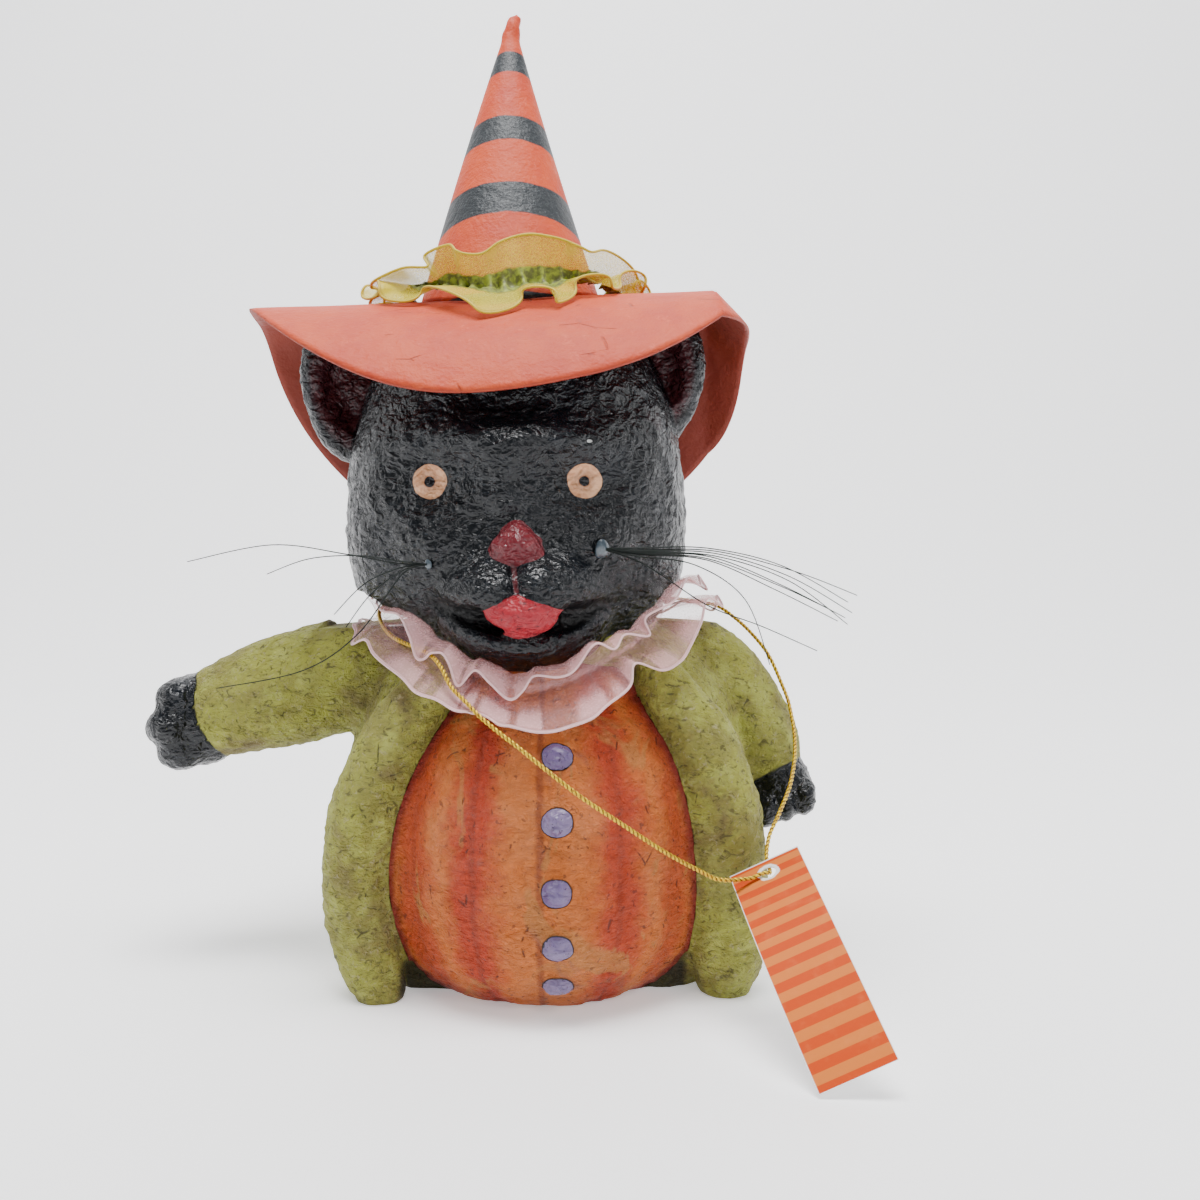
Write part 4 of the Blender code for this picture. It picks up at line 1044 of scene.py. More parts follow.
def brim_paint():
    """Mottled card with a worn cut edge, short creases and painted shade that darkens its underside."""
    p = Paint("brim_card")
    paint, grain = card_base(p)
    # Painted shade: the underside is darkened to a deep brown-red as if in shadow.
    underside_shade = p.step(p.attribute("under"), 0.3, 0.7)
    paint = p.mix(underside_shade * 0.82, paint, (0.155, 0.022, 0.014))
    worn = p.attribute("rim") + p.uneven(0.02, 0.004)
    paint = p.mix(p.step(worn, 0.992, 1.0, 0.0, 0.5), paint, (0.26, 0.035, 0.020))
    creases = p.step(p.crack_distance(0.011, p.stretch((0.35, 1.0, 1.0))), 0.020, 0.004)
    creases = creases * p.step(p.noise(0.013, 3.0, 0.6), 0.56, 0.64)
    paint = p.mix(creases * 0.5, paint, (0.16, 0.022, 0.012))
    height = grain * 0.5 - creases * 0.6
    height = height + p.noise(0.0065, 4.0, 0.55) * 1.6
    p.set(Base_Color=paint, Roughness=0.60, Specular_IOR_Level=0.35, Normal=p.bump(height, 0.0007, 0.8))
    return p.material


# Lower and upper edge of each painted stripe, as shares of the cone's height at its front.
CONE_STRIPES = ((0.764, 0.8416), (0.5005, 0.5896), (0.233, 0.3416), (-0.16, -0.04))


def cone_paint():
    """Mottled card with black stripes that run lower, and wider, round the sides."""
    s = settings("cat_hat")
    p = Paint("cone_card")
    paint, grain = card_base(p)
    height = p.attribute("height") + p.uneven(0.012, 0.0070, 4.0, 0.6)
    aside = p.attribute("aside")
    upper = height + aside * 0.10
    lower = height + aside * 0.17
    band = 0.0
    for low, high in CONE_STRIPES:
        inside = p.step(lower, low - 0.003, low + 0.003) * p.step(upper, high + 0.003, high - 0.003)
        band = p.most(band, inside)
    fleck = p.step(p.noise(0.0007, 2.0, 0.6), 0.55, 0.70)
    black = p.mix(fleck, s.stripe, (0.062, 0.070, 0.076))
    paint = p.mix(band, paint, black)
    rough = p.step(band, 0.0, 1.0, 0.60, 0.46)
    relief = grain * 0.5 + p.noise(0.0040, 3.0) * 0.9
    p.set(Base_Color=paint, Roughness=rough, Specular_IOR_Level=0.3, Normal=p.bump(relief, 0.0008, 0.8))
    return p.material


# Ribbons.
def edge_line(stations, sectors):
    """Round a ribbon's edge: its own angle, its reach and its height, for each angle of the gather."""
    first, last = stations[0], stations[-1]
    before = (last[0] - 360, last[1] - 360, *last[2:])
    after = (first[0] + 360, first[1] + 360, *first[2:])
    line = np.array(smooth_path([before] + list(stations) + [after], 16))
    angles = first[0] + 360 * np.arange(sectors) / sectors
    angle, reach, height = (np.interp(angles, line[:, 0], line[:, i]) for i in (1, 2, 3))
    return np.radians(angles), np.radians(angle), reach * MM, height * MM


def folds_of(line):
    """How steeply a ribbon's edge rises or falls, or doubles back, between 0 and 1."""
    _, angle, reach, height = line
    run = (np.roll(angle, -2) - np.roll(angle, 2) + 0.5) % WHOLE_TURN - 0.5
    fall = np.hypot(np.roll(height, -2) - np.roll(height, 2), np.roll(reach, -2) - np.roll(reach, 2))
    return np.clip(fall / (0.05 * np.abs(run) + 0.00005), 0.0, 1.0)


def organza(name, tint, thread, gather, veil, ruched, hold):
    """Sheer woven ribbon, denser at the gathering thread, along the selvedges and where it folds, with
    painted shade in the crumpled pleats at the gather.
    """
    p = Paint(name)
    across = p.attribute("across")
    fold = p.step(p.attribute("fold"), 0.25, 0.90)
    tight = p.step(across, ruched + 0.10, ruched)
    selvedge = p.step(across, 0.950, 0.975)
    sparkle = p.step(p.noise(0.0007, 2.0, 0.7), 0.45, 0.70)
    paint = p.mix(sparkle * 0.6, tint, tuple(min(1.0, c * 1.25 + 0.04) for c in tint))
    paint = p.mix(fold * 0.5, paint, thread)
    # Painted shade: dark patches in the crumpled pleats of the gather.
    pleat_shade = p.mix(p.step(p.noise(0.0022, 3.0, 0.6), 0.40, 0.62), tuple(c * 0.22 for c in gather), gather)
    paint = p.mix(tight * hold, paint, pleat_shade)
    paint = p.mix(selvedge, paint, thread)
    cover = p.step(sparkle, 0.0, 1.0, veil, veil + 0.10) + fold * 0.30
    cover = p.most(cover, tight * hold)
    cover = p.most(cover, selvedge * 0.95)
    p.set(Base_Color=paint, Alpha=cover, Roughness=0.55, Sheen_Weight=0.2, Sheen_Roughness=0.35,
          Normal=p.bump(p.noise(0.0006, 2.0), 0.0002, 0.3))
    return p.material


def thread_paint(name, tint):
    """Stitched thread, lighter and darker along its length."""
    p = Paint(name)
    paint = p.mix(p.noise(0.0011, 2.0), tint, tuple(c * 0.7 for c in tint))
    p.set(Base_Color=paint, Roughness=0.6, Sheen_Weight=0.2,
          Normal=p.bump(p.noise(0.0005, 2.0), 0.0002, 0.6))
    return p.material


RIBBON_THICKNESS = 0.00022


def ribbon(name, rows, shares, folds, edge, material, thread_material, node):
    """A closed, thin band from rows of points round a ring, with a thread along each of its two edges."""
    sectors = len(rows[0])
    points = [point for row in rows for point in row]
    band = put(name, points, ring_faces(len(rows), sectors), material)
    store(band.data, "across", [abs(share) for share in shares for _ in range(sectors)])
    store(band.data, "fold", [fold * abs(share) for share in shares for fold in folds])
    thick = band.modifiers.new("thickness", "SOLIDIFY")
    thick.thickness = RIBBON_THICKNESS
    thick.offset = 0.0
    edges = [sweep(rows[i], lambda run, angle: edge / 2, 6, closed=True) for i in (0, -1)]
    threads = put(name + "_edge_threads", *gather_forms(edges), thread_material)
    for piece in (band, threads):
        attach(piece, "root")
    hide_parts(node)
    area = 0.0
    for i in range(len(rows) - 1):
        for k in range(sectors):
            after = (k + 1) % sectors
            a, b, c, d = rows[i][k], rows[i][after], rows[i + 1][after], rows[i + 1][k]
            area += ((b - a).cross(d - a).length + (b - c).cross(d - c).length) / 2
    width = sum((rows[i + 1][0] - rows[i][0]).length for i in range(len(rows) - 1))


# Upper edge of the hat's ruffle, in degrees and mm: angle of the gather, angle, radius and height.
HAT_FRILL = (
    (6, 8, 51, 8), (16, 15, 46, 12), (28, 30, 51, 8.5), (42, 40, 45, 13), (56, 58, 50, 9),
    (72, 70, 45, 14), (88, 90, 51, 8.5), (104, 102, 46, 13), (120, 122, 51, 8), (136, 134, 46, 12.5),
    (152, 154, 52, 6.5), (168, 167, 48, 10), (182, 183, 53, 5), (194, 195, 49, 6.5), (203, 206, 54, 3),
    (213, 216, 56, 2), (224, 225, 50, 5), (231, 235, 46, 4.2), (237, 232.5, 45, 9.3),
    (243, 245, 44, 10.9), (249, 249.5, 45, 7.8), (254, 254, 44, 6.3), (261, 261, 42, 6.7),
    (268, 268.5, 41, 10.5), (276, 275.8, 40, 12.9), (284, 283.5, 41, 13.7), (291, 291, 41.5, 13.5),
    (301, 301, 42, 12.7), (308, 308, 44.5, 10.3), (315, 315.4, 44, 10.1), (325, 326, 43, 13.5),
    (336, 340, 44, 14.5), (346, 352, 47, 13), (355, 359, 48.5, 11),
)


# Widths of the frills that the rows of numbers above and below describe.
HAT_FRILL_WIDTH, UPPER_FRILL_WIDTH, LOWER_FRILL_WIDTH = 0.018, 0.0125, 0.020


def build_hat_ruffle():
    """Yellow ribbon: one frill stands round the foot of the cone and one lies on the brim."""
    s = settings("cat_ribbon")
    sectors = 560
    shares = [-i / 9 for i in range(9, 0, -1)] + [0.0] + [i / 10 for i in range(1, 11)]
    line = edge_line(HAT_FRILL, sectors)
    rows = []
    for share in shares:
        row = []
        for angle, edge_angle, edge_radius, edge_height in zip(*line):
            foot = cone_foot_radius(angle) + 0.0016
            phase = 13 * angle + 1.5 * math.sin(2 * angle + 0.7) + 0.8 * math.sin(5 * angle)
            wave, roll = math.sin(phase), math.cos(phase)
            ruche = math.sin(41 * angle + 2.0 * math.sin(3 * angle))
            ruche += 0.7 * math.sin(67 * angle + 9 * share)
            pleat = 0.0008 * ruche * hill(share, 0.26)
            start = brim_top(foot * math.cos(angle), foot * math.sin(angle)) + 0.0046
            if share <= 0:
                part = -share
                turn = angle + 0.035 * math.sin(2 * phase) * part
                width = s.hat_lower * (0.94 + 0.20 * wave + 0.28 * hill(angle - math.radians(212), 0.35))
                radius = foot + width * part + pleat
                x, y = radius * math.cos(turn), radius * math.sin(turn)
                lift = 0.0034 * (1 - part) + 0.0034 * (1 + roll) * part + 0.0010
                height = brim_top(x, y) + 0.0012 + lift + pleat
            else:
                turn = angle + (edge_angle - angle) * share
                radius = foot + (edge_radius * s.hat_upper / HAT_FRILL_WIDTH - foot) * share ** 1.3 + pleat
                radius += 0.0005 * math.sin(2 * phase) * math.sin(math.pi * share)
                x, y = radius * math.cos(turn), radius * math.sin(turn)
                height = start + (edge_height - start) * share ** 0.85 + pleat
            row.append(HAT_MATRIX @ Vector((x, y, height)))
        rows.append(row)
    cloth = organza("yellow_organza", s.yellow, thread=(0.62, 0.47, 0.001), gather=(0.230, 0.290, 0.014),
                    veil=0.37, ruched=0.30, hold=0.95)
    stitching = thread_paint("yellow_edge_thread", (0.62, 0.46, 0.001))
    ribbon("hat_organza_ruffle", rows, shares, folds_of(line), s.edge * 1.35, cloth, stitching,
           node="hat_ruffle")


COLLAR_CENTRE, COLLAR_RADII = (-0.0030, -0.0085), (0.0465, 0.0490)


def collar_gather(angle):
    """A point of the gathering thread round the neck; angle 0 is at the front, where it hangs lowest."""
    x = COLLAR_CENTRE[0] + COLLAR_RADII[0] * math.sin(angle)
    y = COLLAR_CENTRE[1] - COLLAR_RADII[1] * math.cos(angle)
    rise = min(1.0, 1.4 * max(0.0, 1 - math.cos(angle))) ** 0.65
    return Vector((x, y, 0.105 + 0.0245 * rise))


def push_needed(point, tree, cord_tree, clearance):
    """The move that takes a point to its clearance off the body and off the cord, or none."""
    place, normal, _, _ = tree.find_nearest(point)
    above = (point - place).dot(normal)
    if above < 0 or (point - place).length < clearance:
        return normal * (clearance - above)
    beside = cord_tree.find(point)[0]
    away = point - beside
    room = settings("cat_cord").diameter / 2 + clearance
    if away.length < room:
        return away.normalized() * (room - away.length)
    return None


# The collar's two edges, in degrees and mm: angle of the gather from the front, angle, reach and height.
COLLAR_UPPER = (
    (-170, -170, 13, 134), (-150, -152, 11, 137), (-130, -128, 14, 133), (-110, -112, 11, 137),
    (-92, -90, 14, 133), (-76, -78, 11.5, 136), (-64, -62, 13, 131), (-53, -52, 11, 130),
    (-45, -43.8, 12.5, 124), (-39, -40, 12, 116), (-33, -31.6, 11, 119), (-27.5, -27, 12, 115.5),
    (-22.8, -23.2, 13, 108.5), (-18.8, -18.4, 11, 114), (-13, -12.8, 12, 110), (-7, -6.4, 13, 105),
    (-2.5, -2.2, 12, 108), (2, 1, 11, 112.5), (8.5, 8.5, 11.5, 112), (14, 13.8, 11.5, 114),
    (21, 20.5, 12, 122.5), (26.5, 26.5, 13.5, 120.5), (32, 31.3, 11.5, 125), (38, 40.5, 12.5, 124),
    (44, 40, 11, 130), (52, 52, 13, 135), (60, 62, 12, 142), (70, 69, 14, 139), (80, 82, 11, 142),
    (94, 92, 14.5, 136), (108, 110, 11, 139), (126, 124, 14, 134), (144, 146, 11, 138),
    (160, 158, 14, 134), (176, 177, 11.5, 137),
)
COLLAR_LOWER = (
    (-168, -168, 19, 124), (-148, -149, 21, 120), (-128, -127, 18.5, 124), (-110, -111, 21, 119),
    (-92, -91, 18.5, 123), (-76, -77, 20.5, 118), (-64, -63, 18.5, 121), (-55, -57, 18, 116.8),
    (-43, -42.5, 17.5, 111), (-35, -35, 18.5, 106.5), (-28, -28, 17.5, 104.6),
    (-21.5, -21.5, 18.5, 101.8), (-15.4, -15.4, 17.5, 101.3), (-10, -10, 18.5, 98.2),
    (-4.5, -5, 17.5, 97.2), (1.5, 1.2, 18, 95.7), (7, 6.5, 18.5, 95.8), (12, 11.3, 17.5, 97),
    (17.5, 17.5, 18.5, 99.5), (22.5, 22.5, 17.5, 103.4), (28.5, 29.9, 17.5, 109), (33, 32.2, 16, 116),
    (40, 41.2, 18, 113), (47, 48, 19, 115.5), (53.5, 53.8, 18, 119.5), (60, 60, 18.5, 127.5),
    (68, 66, 18, 135), (78, 79, 20, 131), (92, 91, 18, 134), (106, 107, 21, 127),
    (122, 121, 18.5, 130), (138, 139, 21, 123), (154, 153, 18.5, 126), (172, 172, 20.5, 120),
)


RIBBON_CLEARANCE, DRAPE_CLEARANCE, DRAPE_REACH = 0.0010, 0.0012, 0.016


def drape_over(point, angle, tree):
    """Bring a point of the lower frill out of a form that it should lie over."""
    lean = Vector((math.sin(angle), -math.cos(angle), 0.8)).normalized()
    hit, normal = tree.ray_cast(point + lean * DRAPE_REACH, -lean, DRAPE_REACH)[:2]
    if hit and normal.dot(lean) > 0:
        return hit + lean * DRAPE_CLEARANCE
    return point


def build_collar(figure):
    """Pink ribbon: one frill stands under the chin and one falls on the coat."""
    s = settings("cat_ribbon")
    sectors = 620
    tree = BVHTree.FromObject(figure, bpy.context.evaluated_depsgraph_get())
    cord_path = smooth_path(cord_route(), 12)
    cord_tree = KDTree(len(cord_path))
    for i, place in enumerate(cord_path):
        cord_tree.insert(place, i)
    cord_tree.balance()
    shares = [-i / 10 for i in range(10, 0, -1)] + [0.0] + [i / 8 for i in range(1, 9)]
    upper, lower = (edge_line(stations, sectors) for stations in (COLLAR_UPPER, COLLAR_LOWER))
    rows = []
    for share in shares:
        line, width = lower, s.collar_lower / LOWER_FRILL_WIDTH
        swell = 0.0020 * math.sin(-math.pi * share)
        if share > 0:
            line, width = upper, s.collar_upper / UPPER_FRILL_WIDTH
            swell = 0.0070 * math.sin(math.pi * share ** 0.6)
        row = []
        for angle, edge_angle, reach, height in zip(*line):
            pleat = 0.0005 * math.sin(53 * angle + 2.0 * math.sin(2 * angle)) * hill(share, 0.45)
            gather = collar_gather(angle)
            turn = angle + (edge_angle - angle) * abs(share)
            edge = Vector((COLLAR_CENTRE[0] + (COLLAR_RADII[0] + reach) * math.sin(turn),
                           COLLAR_CENTRE[1] - (COLLAR_RADII[1] + reach) * math.cos(turn), height))
            point = gather + (edge - gather) * (width * abs(share))
            row.append(point + Vector((0, 0, swell + pleat)))
        rows.append(row)
    # Let the ribbon settle on the figure: push it clear, then ease it, until it lies smoothly.
    for settle in range(9):
        for i, row in enumerate(rows):
            if settle < 3 and shares[i] < -0.3:
                row[:] = [drape_over(point, angle, tree) for angle, point in zip(lower[0], row)]
            for k, point in enumerate(row):
                push = push_needed(point, tree, cord_tree, RIBBON_CLEARANCE)
                if push:
                    row[k] = point + push
        if settle < 7:
            place = np.array([[tuple(point) for point in row] for row in rows])
            along_row = (np.roll(place, 1, axis=1) + np.roll(place, -1, axis=1)) / 2
            across_rows = place.copy()
            across_rows[1:-1] = (place[:-2] + place[2:]) / 2
            place = 0.72 * place + 0.16 * along_row + 0.12 * across_rows
            rows = [[Vector(point) for point in row] for row in place]
    cloth = organza("pink_organza", s.pink, thread=(0.86, 0.54, 0.55), gather=(0.80, 0.44, 0.45),
                    veil=0.11, ruched=0.0, hold=0.35)
    stitching = thread_paint("pink_edge_thread", (0.86, 0.54, 0.55))
    ribbon("collar_organza_ruffle", rows, shares, folds_of(upper), s.edge, cloth, stitching,
           node="collar_ruffle")


# Tag and gold cord. The tag's own directions run down the card, across it and out of its front.
TAG_LENGTH, TAG_HOLE_INSET, TAG_BEND = 0.0810, 0.0060, 0.0070
TAG_TOP = Vector((0.0729, -0.0575, 0.0495))
TAG_FALL = (Vector((0.0915, -0.1235, 0.0066)) - TAG_TOP).normalized()
TAG_SLANT = Vector((0.0215, 0.0000, 0.0105))
TAG_ACROSS = (TAG_SLANT - TAG_FALL * TAG_SLANT.dot(TAG_FALL)).normalized()
TAG_FRONT = TAG_FALL.cross(TAG_ACROSS)


def tag_place(side, down, lift=0.0):
    """A point of the bent card, lifted off its front."""
    bulge = TAG_BEND * math.sin(math.pi * max(0.0, down) / TAG_LENGTH)
    return TAG_TOP + TAG_FALL * down + TAG_ACROSS * side + TAG_FRONT * (bulge + lift)


# Places that the cord runs through, in mm: from the knot at the nape to the tag, and back to the knot.
CORD_TO_TAG = (
    (1, 54, 130.6), (-27.5, 48.5, 130.6), (-49, 31, 130.6), (-59, 6, 130.2), (-59.5, -18, 128.2),
    (-52, -37.5, 122.2), (-38.5, -53, 118.5), (-32.7, -62.5, 115.4), (-28.3, -68, 108.9),
    (-23.4, -71.5, 104.7), (-18.7, -74, 100.4), (-12.2, -76.5, 95.5), (-6.2, -78.5, 91.3),
    (0.8, -80.5, 86), (13.1, -81.5, 76.5), (26.2, -79, 67.1), (39.6, -74.5, 57.2), (50.4, -70, 50.2),
    (57.5, -67.8, 46.5),
)
CORD_FROM_TAG = (
    (76, -48, 56), (80, -42, 62), (85.4, -32, 71), (88.5, -20, 81.8), (88, -10, 93.6), (85.5, -4, 102),
    (81.5, 2, 111.5), (76.2, 8, 118.5), (70.4, 14, 124), (63.3, 20, 128.5), (52, 30, 130),
    (39, 42, 130.4), (21, 51, 130.6), (4, 54, 130.6),
)


def cord_route():
    """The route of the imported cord: from the knot at the nape round the neck, through the tag and back."""
    threading = [tag_place(*place)[:] for place in (
        (-0.0065, TAG_HOLE_INSET + 0.0006, 0.0021), (-0.0025, TAG_HOLE_INSET + 0.0004, 0.0015),
        (0.0, TAG_HOLE_INSET, 0.0), (0.0005, TAG_HOLE_INSET - 0.0015, -0.0016),
        (0.0010, 0.0010, -0.0021), (0.0016, -0.0030, -0.0016))]
    return [[c * MM for c in point] for point in CORD_TO_TAG] + threading + [
        [c * MM for c in point] for point in CORD_FROM_TAG]


def build_cord():
    """The cord of two strands twisted together, and its knot at the nape."""
    s = settings("cat_cord")
    path = smooth_path(cord_route(), 64)
    radius = s.diameter / 2
    crests = []

    def twist(run, angle):
        crests.append(abs(math.cos(angle - WHOLE_TURN * run / s.lay)))
        return radius * (0.66 + 0.40 * crests[-1])

    cord = put("gold_tag_cord", *sweep(path, twist, 12), gold_paint())
    store(cord.data, "crest", crests)
    knot_path = []
    centre = Vector((0.0025, 0.0545, 0.1306))
    for k in range(49):
        t = around(k, 24)
        knot_path.append(centre + Vector((0.0011 * math.cos(2 * t) - 0.0004 * math.cos(t),
                                          0.0013 * math.sin(t / 2 + 0.4), 0.0013 * math.sin(2 * t + 0.5))))
    knot_form = sweep(knot_path, lambda run, angle: radius * 0.9, 10)
    knot = put("gold_cord_knot", *knot_form, cord.data.materials[0])
    store(knot.data, "crest", [0.8] * len(knot.data.vertices))
    for piece in (cord, knot):
        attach(piece, "root")
    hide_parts("gold_cord")


def gold_paint():
    """Metallic thread, with painted shade in the grooves between the strands."""
    s = settings("cat_cord")
    p = Paint("gold_cord_thread")
    fleck = p.noise(0.0009, 2.0, 0.7)
    paint = p.mix(p.step(fleck, 0.36, 0.60), (0.52, 0.27, 0.012), s.gold)
    # Painted shade: the grooves between the two strands darken to brown.
    paint = p.mix(p.step(p.attribute("crest"), 0.70, 0.30, 0.0, 0.92), paint, (0.10, 0.036, 0.002))
    p.set(Base_Color=paint, Metallic=0.45, Roughness=p.step(fleck, 0.3, 0.7, 0.26, 0.45),
          Normal=p.bump(p.noise(0.0005, 2.0), 0.0002, 0.7))
    return p.material


def finish_tag():
    """Plain printed stripes on the front of the card, white card at its edges and back."""
    s = settings("cat_tag")
    p = Paint("printed_tag_card")
    from_top = p.vector("SUBTRACT", p.place, TAG_TOP)
    down = p.vector("DOT_PRODUCT", from_top, TAG_FALL, "Value")
    across = p.vector("DOT_PRODUCT", from_top, TAG_ACROSS, "Value")
    turn = p.math("PINGPONG", down, s.stripe)
    band = p.step(turn, s.stripe * 0.47, s.stripe * 0.53)
    ink = p.mix(band, s.deep, s.pale)
    ink = p.mix(p.step(p.noise(0.006, 3.0), 0.5, 0.8, 0.0, 0.20), ink, (0.74, 0.24, 0.07))
    white = p.mix(p.noise(0.003, 3.0), (0.84, 0.83, 0.80), (0.76, 0.75, 0.72))
    front = p.step(p.facing(TAG_FRONT), 0.35, 0.5)
    border = p.step(abs(across), 0.01215, 0.01190)
    border = p.math("MINIMUM", border, p.step(down, 0.0003, 0.0006))
    hole = p.vector("DISTANCE", p.place, tag_place(0, TAG_HOLE_INSET), "Value")
    torn = p.step(hole + p.noise(0.0022, 3.0) * 0.0016, 0.0043, 0.0048)
    printed = front * border * torn
    p.set(Base_Color=p.mix(printed, white, ink), Roughness=0.62, Specular_IOR_Level=0.2,
          Normal=p.bump(p.noise(0.0012, 3.0), 0.0002, 0.25))
    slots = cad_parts["hang_tag"].material_slots
    for slot in slots:
        slot.material = p.material
    if not slots:
        raise RuntimeError("the tag's node has no material slot")


# Whiskers: the places that each bristle runs through, in mm from its drop of glue.
BRISTLE_SIDES = 5
LEFT_ROOT, RIGHT_ROOT = (-0.0365, 0.1475), (0.0192, 0.1525)
LEFT_BRISTLES = (
    ((-10, -3, 0.5), (-26, -4, 3.5), (-50, -4, 6.5), (-78, -2, 1)),
    ((-9, -3, 1.2), (-22, -4, 3), (-38, -4, 2), (-52, -3, -3)),
    ((-9, -3, -1), (-20, -5, -6), (-30, -5, -16)),
    ((-8, -3.5, -1.8), (-18, -6, -9.5), (-26, -6, -20)),
    ((-8, -4, -3), (-22, -6, -22), (-40, -6, -34), (-68, -4, -40)),
)
RIGHT_BRISTLES = (
    ((12, -4, -0.2), (36, -5, -0.5), (62, -4, -7), (83, -3, -15)),
    ((12, -4, 0.4), (34, -5, 0.4), (58, -4, -5.2), (80, -3, -17.2)),
    ((12, -4.2, -0.5), (36, -6, -1.2), (60, -6, -8.5), (81, -5, -20.5)),
    ((12, -4, -0.8), (36, -7, -2), (60, -8, -10), (79, -8, -24)),
    ((12, -3.5, -1.1), (35, -5, -2.4), (58, -4, -11.5), (79, -4, -22.2)),
    ((12, -3, -1.4), (34, -3, -3), (58, -1, -12), (76, 0, -20.5)),
    ((12, -3.2, -1.7), (34, -4, -3.5), (56, -3, -13), (77, -2, -23.5)),
    ((11, -4, -2.2), (30, -6, -5), (46, -8, -16), (54, -9, -37)),
    ((14, -3.5, -5), (34, -5, -18), (52, -5, -25), (70, -4, -33)),
)


def build_whiskers(name, root, bristles, tree, drop_scale, node):
    """Fine bristles that meet in a drop of glue on the cheek."""
    s = settings("cat_whiskers")
    hit, normal = front_hit(tree, *root, start=-1.0)
    centre = hit + normal * (s.drop * 0.35)
    directions, faces = sphere_directions(4)
    spin = normal.to_track_quat("Z", "Y").to_matrix()
    ripple = 1 + 0.10 * lumps(directions, 0.9, 6, 2)
    local = directions * np.array((0.95, 1.25, 0.5)) * (s.drop * drop_scale) * ripple[:, None]
    drop = put(name + "_glue_drop", [centre + spin @ Vector(p) for p in local], faces, glue_paint())
    forms = []
    for offsets in bristles:
        path = smooth_path([centre] + [centre + Vector(o) * MM for o in offsets], 10)
        radii = [s.radius * (1 - 0.45 * k / len(path)) for k in range(len(path))]
        rings = iter([radius for radius in radii for _ in range(BRISTLE_SIDES)])
        forms.append(sweep(path, lambda run, angle: next(rings), BRISTLE_SIDES))
    strands = put(name, *gather_forms(forms), bristle_paint())
    for piece in (drop, strands):
        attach(piece, "root")
    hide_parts(node)


def glue_paint():
    """Dried glue, dark and shiny."""
    p = Paint("clear_glue")
    tone = p.mix(p.noise(0.0016, 2.0), (0.012, 0.018, 0.024), (0.075, 0.105, 0.130))
    p.set(Base_Color=tone, Roughness=0.22, Coat_Weight=0.5,
          Normal=p.bump(p.noise(0.0010, 2.0), 0.0003, 0.5))
    return p.material


def bristle_paint():
    """Dark bristle, a little lighter in places."""
    s = settings("cat_whiskers")
    p = Paint("bristle")
    tone = p.mix(p.noise(0.006, 2.0), s.bristle, (0.018, 0.024, 0.021))
    p.set(Base_Color=tone, Roughness=0.5, Specular_IOR_Level=0.2)
    return p.material


# Stage: camera, floor and lights. The focal share is the focal length over the picture's width.
SENSOR_WIDTH, FOCAL_SHARE, CAMERA_TILT = 36.0, 1287.0 / 1200.0, math.radians(86.0)


def build_camera():
    """A camera at the height of the figure's face, tilted slightly down."""
    s = settings("cat_stage")
    camera = bpy.data.cameras.new("camera")
    camera.sensor_width = SENSOR_WIDTH
    camera.lens = SENSOR_WIDTH * FOCAL_SHARE
    camera.clip_start = 0.01
    obj = bpy.data.objects.new("camera", camera)
    obj.location = (0.019, -s.view_distance, s.view_height)
    obj.rotation_euler = (CAMERA_TILT, 0.0, 0.0)
    bpy.context.scene.collection.objects.link(obj)
    bpy.context.scene.camera = obj


BEND_STEPS = 16


def build_floor():
    """A pale sweep: a flat floor that curves up into the backdrop."""
    s = settings("cat_stage")
    half, near, far, height, bend = 2.2, -1.6, 1.1, 2.0, 0.5
    profile = [(near, 0.0), (far - bend, 0.0)]
    for k in range(1, BEND_STEPS + 1):
        angle = math.pi / 2 * k / BEND_STEPS
        profile.append((far - bend + bend * math.sin(angle), bend * (1 - math.cos(angle))))
    profile.append((far, height))
    verts = [(x, y, z) for y, z in profile for x in (-half, half)]
    faces = [(2 * i, 2 * i + 1, 2 * i + 3, 2 * i + 2) for i in range(len(profile) - 1)]
    p = Paint("pale_board")
    tone = p.mix(p.noise(0.5, 2.0), s.floor, tuple(c * 0.97 for c in s.floor))
    p.set(Base_Color=tone, Roughness=0.55, Specular_IOR_Level=0.25, Emission_Color=s.floor,
          Emission_Strength=s.glow)
    sweep_obj = put("floor_sweep", verts, faces, p.material)


def add_light(name, place, target, size, power):
    """A soft panel of white light, turned to its target."""
    light = bpy.data.lights.new(name, "AREA")
    light.shape = "RECTANGLE"
    light.size, light.size_y = size
    light.energy = power
    obj = bpy.data.objects.new(name, light)
    obj.location = place
    obj.rotation_euler = (Vector(target) - Vector(place)).to_track_quat("-Z", "Y").to_euler()
    bpy.context.scene.collection.objects.link(obj)


def build_lights():
    """A pale world and five soft panels: above, in front, at both sides and on the backdrop."""
    world = bpy.data.worlds.new("studio")
    world.use_nodes = True
    background = world.node_tree.nodes["Background"]
    background.inputs["Color"].default_value = (0.96, 0.98, 1.0, 1.0)
    background.inputs["Strength"].default_value = 0.22
    bpy.context.scene.world = world
    add_light("top_light", (-0.10, -0.20, 1.30), (0.0, 0.0, 0.10), (0.60, 0.60), 13.5)
    add_light("front_light", (0.50, -1.05, 0.95), (0.0, 0.0, 0.14), (0.32, 0.32), 5.0)
    add_light("left_light", (-1.25, 0.10, 0.55), (0.0, 0.0, 0.12), (0.50, 0.90), 5.0)
    add_light("right_light", (1.25, 0.10, 0.55), (0.0, 0.0, 0.12), (0.50, 0.90), 5.0)
    add_light("backdrop_light", (0.0, -0.10, 2.1), (0.0, 1.05, 0.25), (1.6, 0.6), 52.0)


# Operators: one for each piece or group of pieces, and one for the stage.
class CAT_OT_stage(bpy.types.Operator):
    """Set the camera, the pale floor and the soft lights"""
    bl_idname = "papercat.stage"
    bl_label = "Stage"

    def execute(self, context):
        build_camera()
        build_floor()
        build_lights()
        return {"FINISHED"}


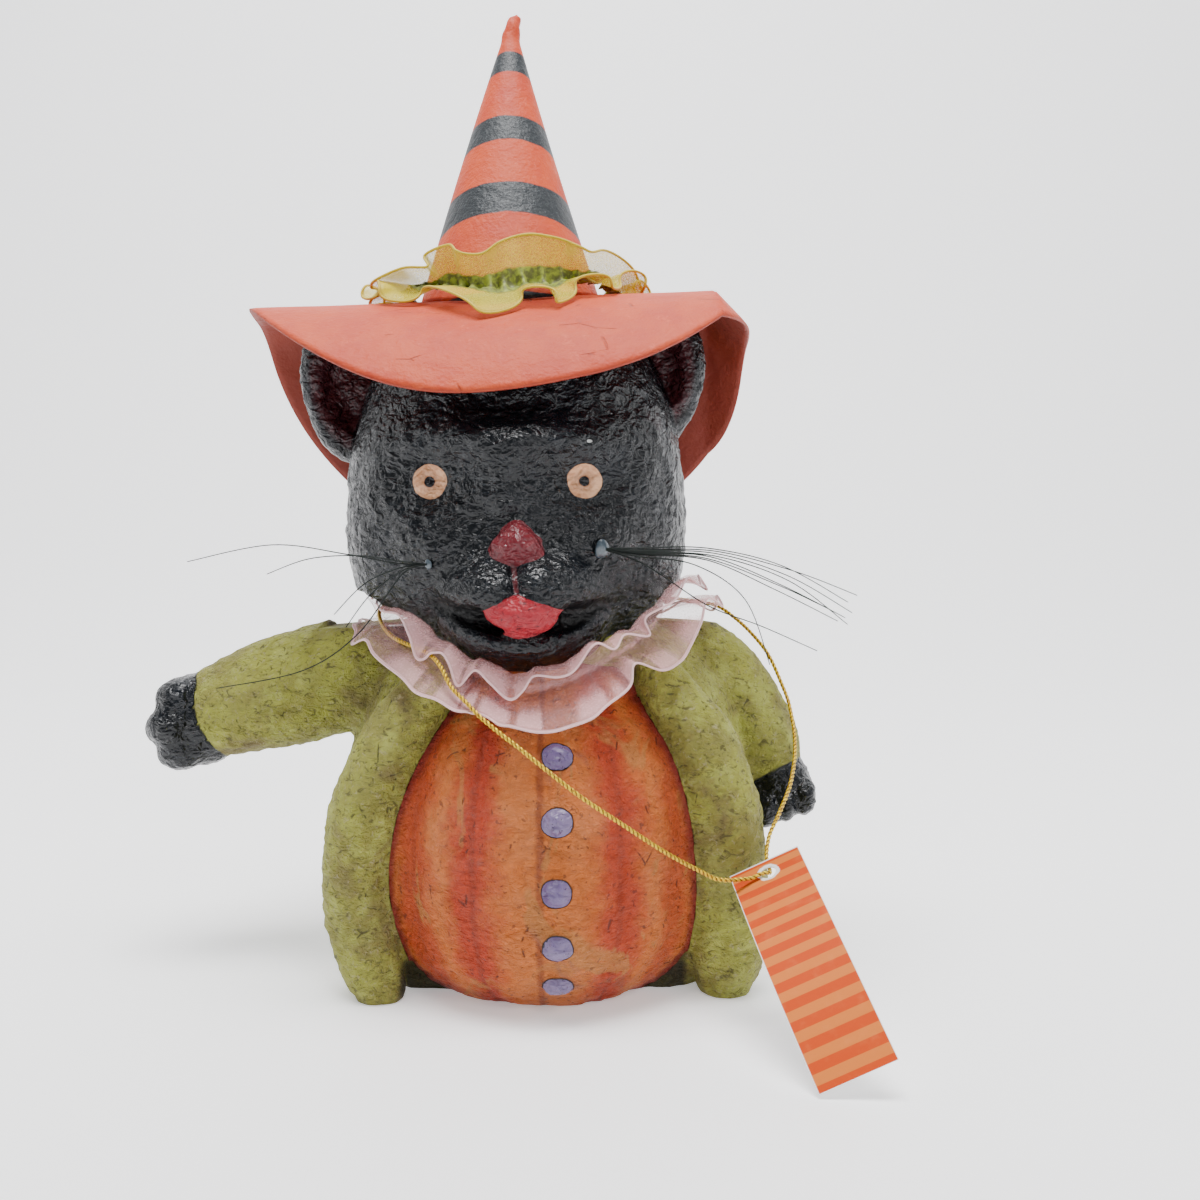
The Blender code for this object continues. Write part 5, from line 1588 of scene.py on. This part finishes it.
class CAT_OT_cord(bpy.types.Operator):
    """Make the gold cord and its knot"""
    bl_idname = "papercat.cord"
    bl_label = "Gold cord"

    def execute(self, context):
        build_cord()
        return {"FINISHED"}


class CAT_OT_figure(bpy.types.Operator):
    """Make the papier-mache figure"""
    bl_idname = "papercat.figure"
    bl_label = "Figure"

    def execute(self, context):
        build_figure()
        return {"FINISHED"}


class CAT_OT_hat(bpy.types.Operator):
    """Make the paper cone and the brim"""
    bl_idname = "papercat.hat"
    bl_label = "Paper hat"

    def execute(self, context):
        build_brim()
        build_cone()
        return {"FINISHED"}


class CAT_OT_ruffles(bpy.types.Operator):
    """Make the organza ruffles of the hat and the collar"""
    bl_idname = "papercat.ruffles"
    bl_label = "Organza ruffles"

    def execute(self, context):
        figure = bpy.data.objects.get("papier_mache_cat")
        if figure is None:
            raise RuntimeError("the collar lies on the figure, so the figure comes first")
        build_hat_ruffle()
        build_collar(figure)
        return {"FINISHED"}


class CAT_OT_whiskers(bpy.types.Operator):
    """Make the bristles and their drops of glue"""
    bl_idname = "papercat.whiskers"
    bl_label = "Whiskers"

    def execute(self, context):
        figure = bpy.data.objects.get("papier_mache_cat")
        if figure is None:
            raise RuntimeError("the whiskers are glued to the figure, so the figure comes first")
        tree = BVHTree.FromObject(figure, context.evaluated_depsgraph_get())
        build_whiskers("left_whiskers", LEFT_ROOT, LEFT_BRISTLES, tree, 0.55, "whiskers_left")
        build_whiskers("right_whiskers", RIGHT_ROOT, RIGHT_BRISTLES, tree, 1.0, "whiskers_right")
        return {"FINISHED"}


class CAT_OT_tag(bpy.types.Operator):
    """Finish the hang tag with printed stripes"""
    bl_idname = "papercat.tag"
    bl_label = "Hang tag"

    def execute(self, context):
        finish_tag()
        return {"FINISHED"}


OPERATORS = (
    CAT_OT_stage, CAT_OT_cord, CAT_OT_figure, CAT_OT_hat, CAT_OT_ruffles, CAT_OT_whiskers, CAT_OT_tag,
)


class CAT_PT_panel(bpy.types.Panel):
    """Lists the pieces and their settings"""
    bl_idname = "CAT_PT_panel"
    bl_label = "Papier-mache cat"
    bl_space_type = "VIEW_3D"
    bl_region_type = "UI"
    bl_category = "Papier Cat"

    def draw(self, context):
        for operator in OPERATORS:
            self.layout.operator(operator.bl_idname)
        for name, group in SETTINGS.items():
            box = self.layout.box()
            for field in group.__annotations__:
                box.prop(settings(name), field)


def register():
    for name, group in SETTINGS.items():
        bpy.utils.register_class(group)
        setattr(bpy.types.Scene, name, bpy.props.PointerProperty(type=group))
    for cls in OPERATORS + (CAT_PT_panel,):
        bpy.utils.register_class(cls)


def unregister():
    for cls in reversed(OPERATORS + (CAT_PT_panel,)):
        bpy.utils.unregister_class(cls)
    for name, group in reversed(SETTINGS.items()):
        delattr(bpy.types.Scene, name)
        bpy.utils.unregister_class(group)


def main():
    register()
    for operator in OPERATORS:
        group, name = operator.bl_idname.split(".")
        getattr(getattr(bpy.ops, group), name)()


if __name__ == "__main__":
    main()
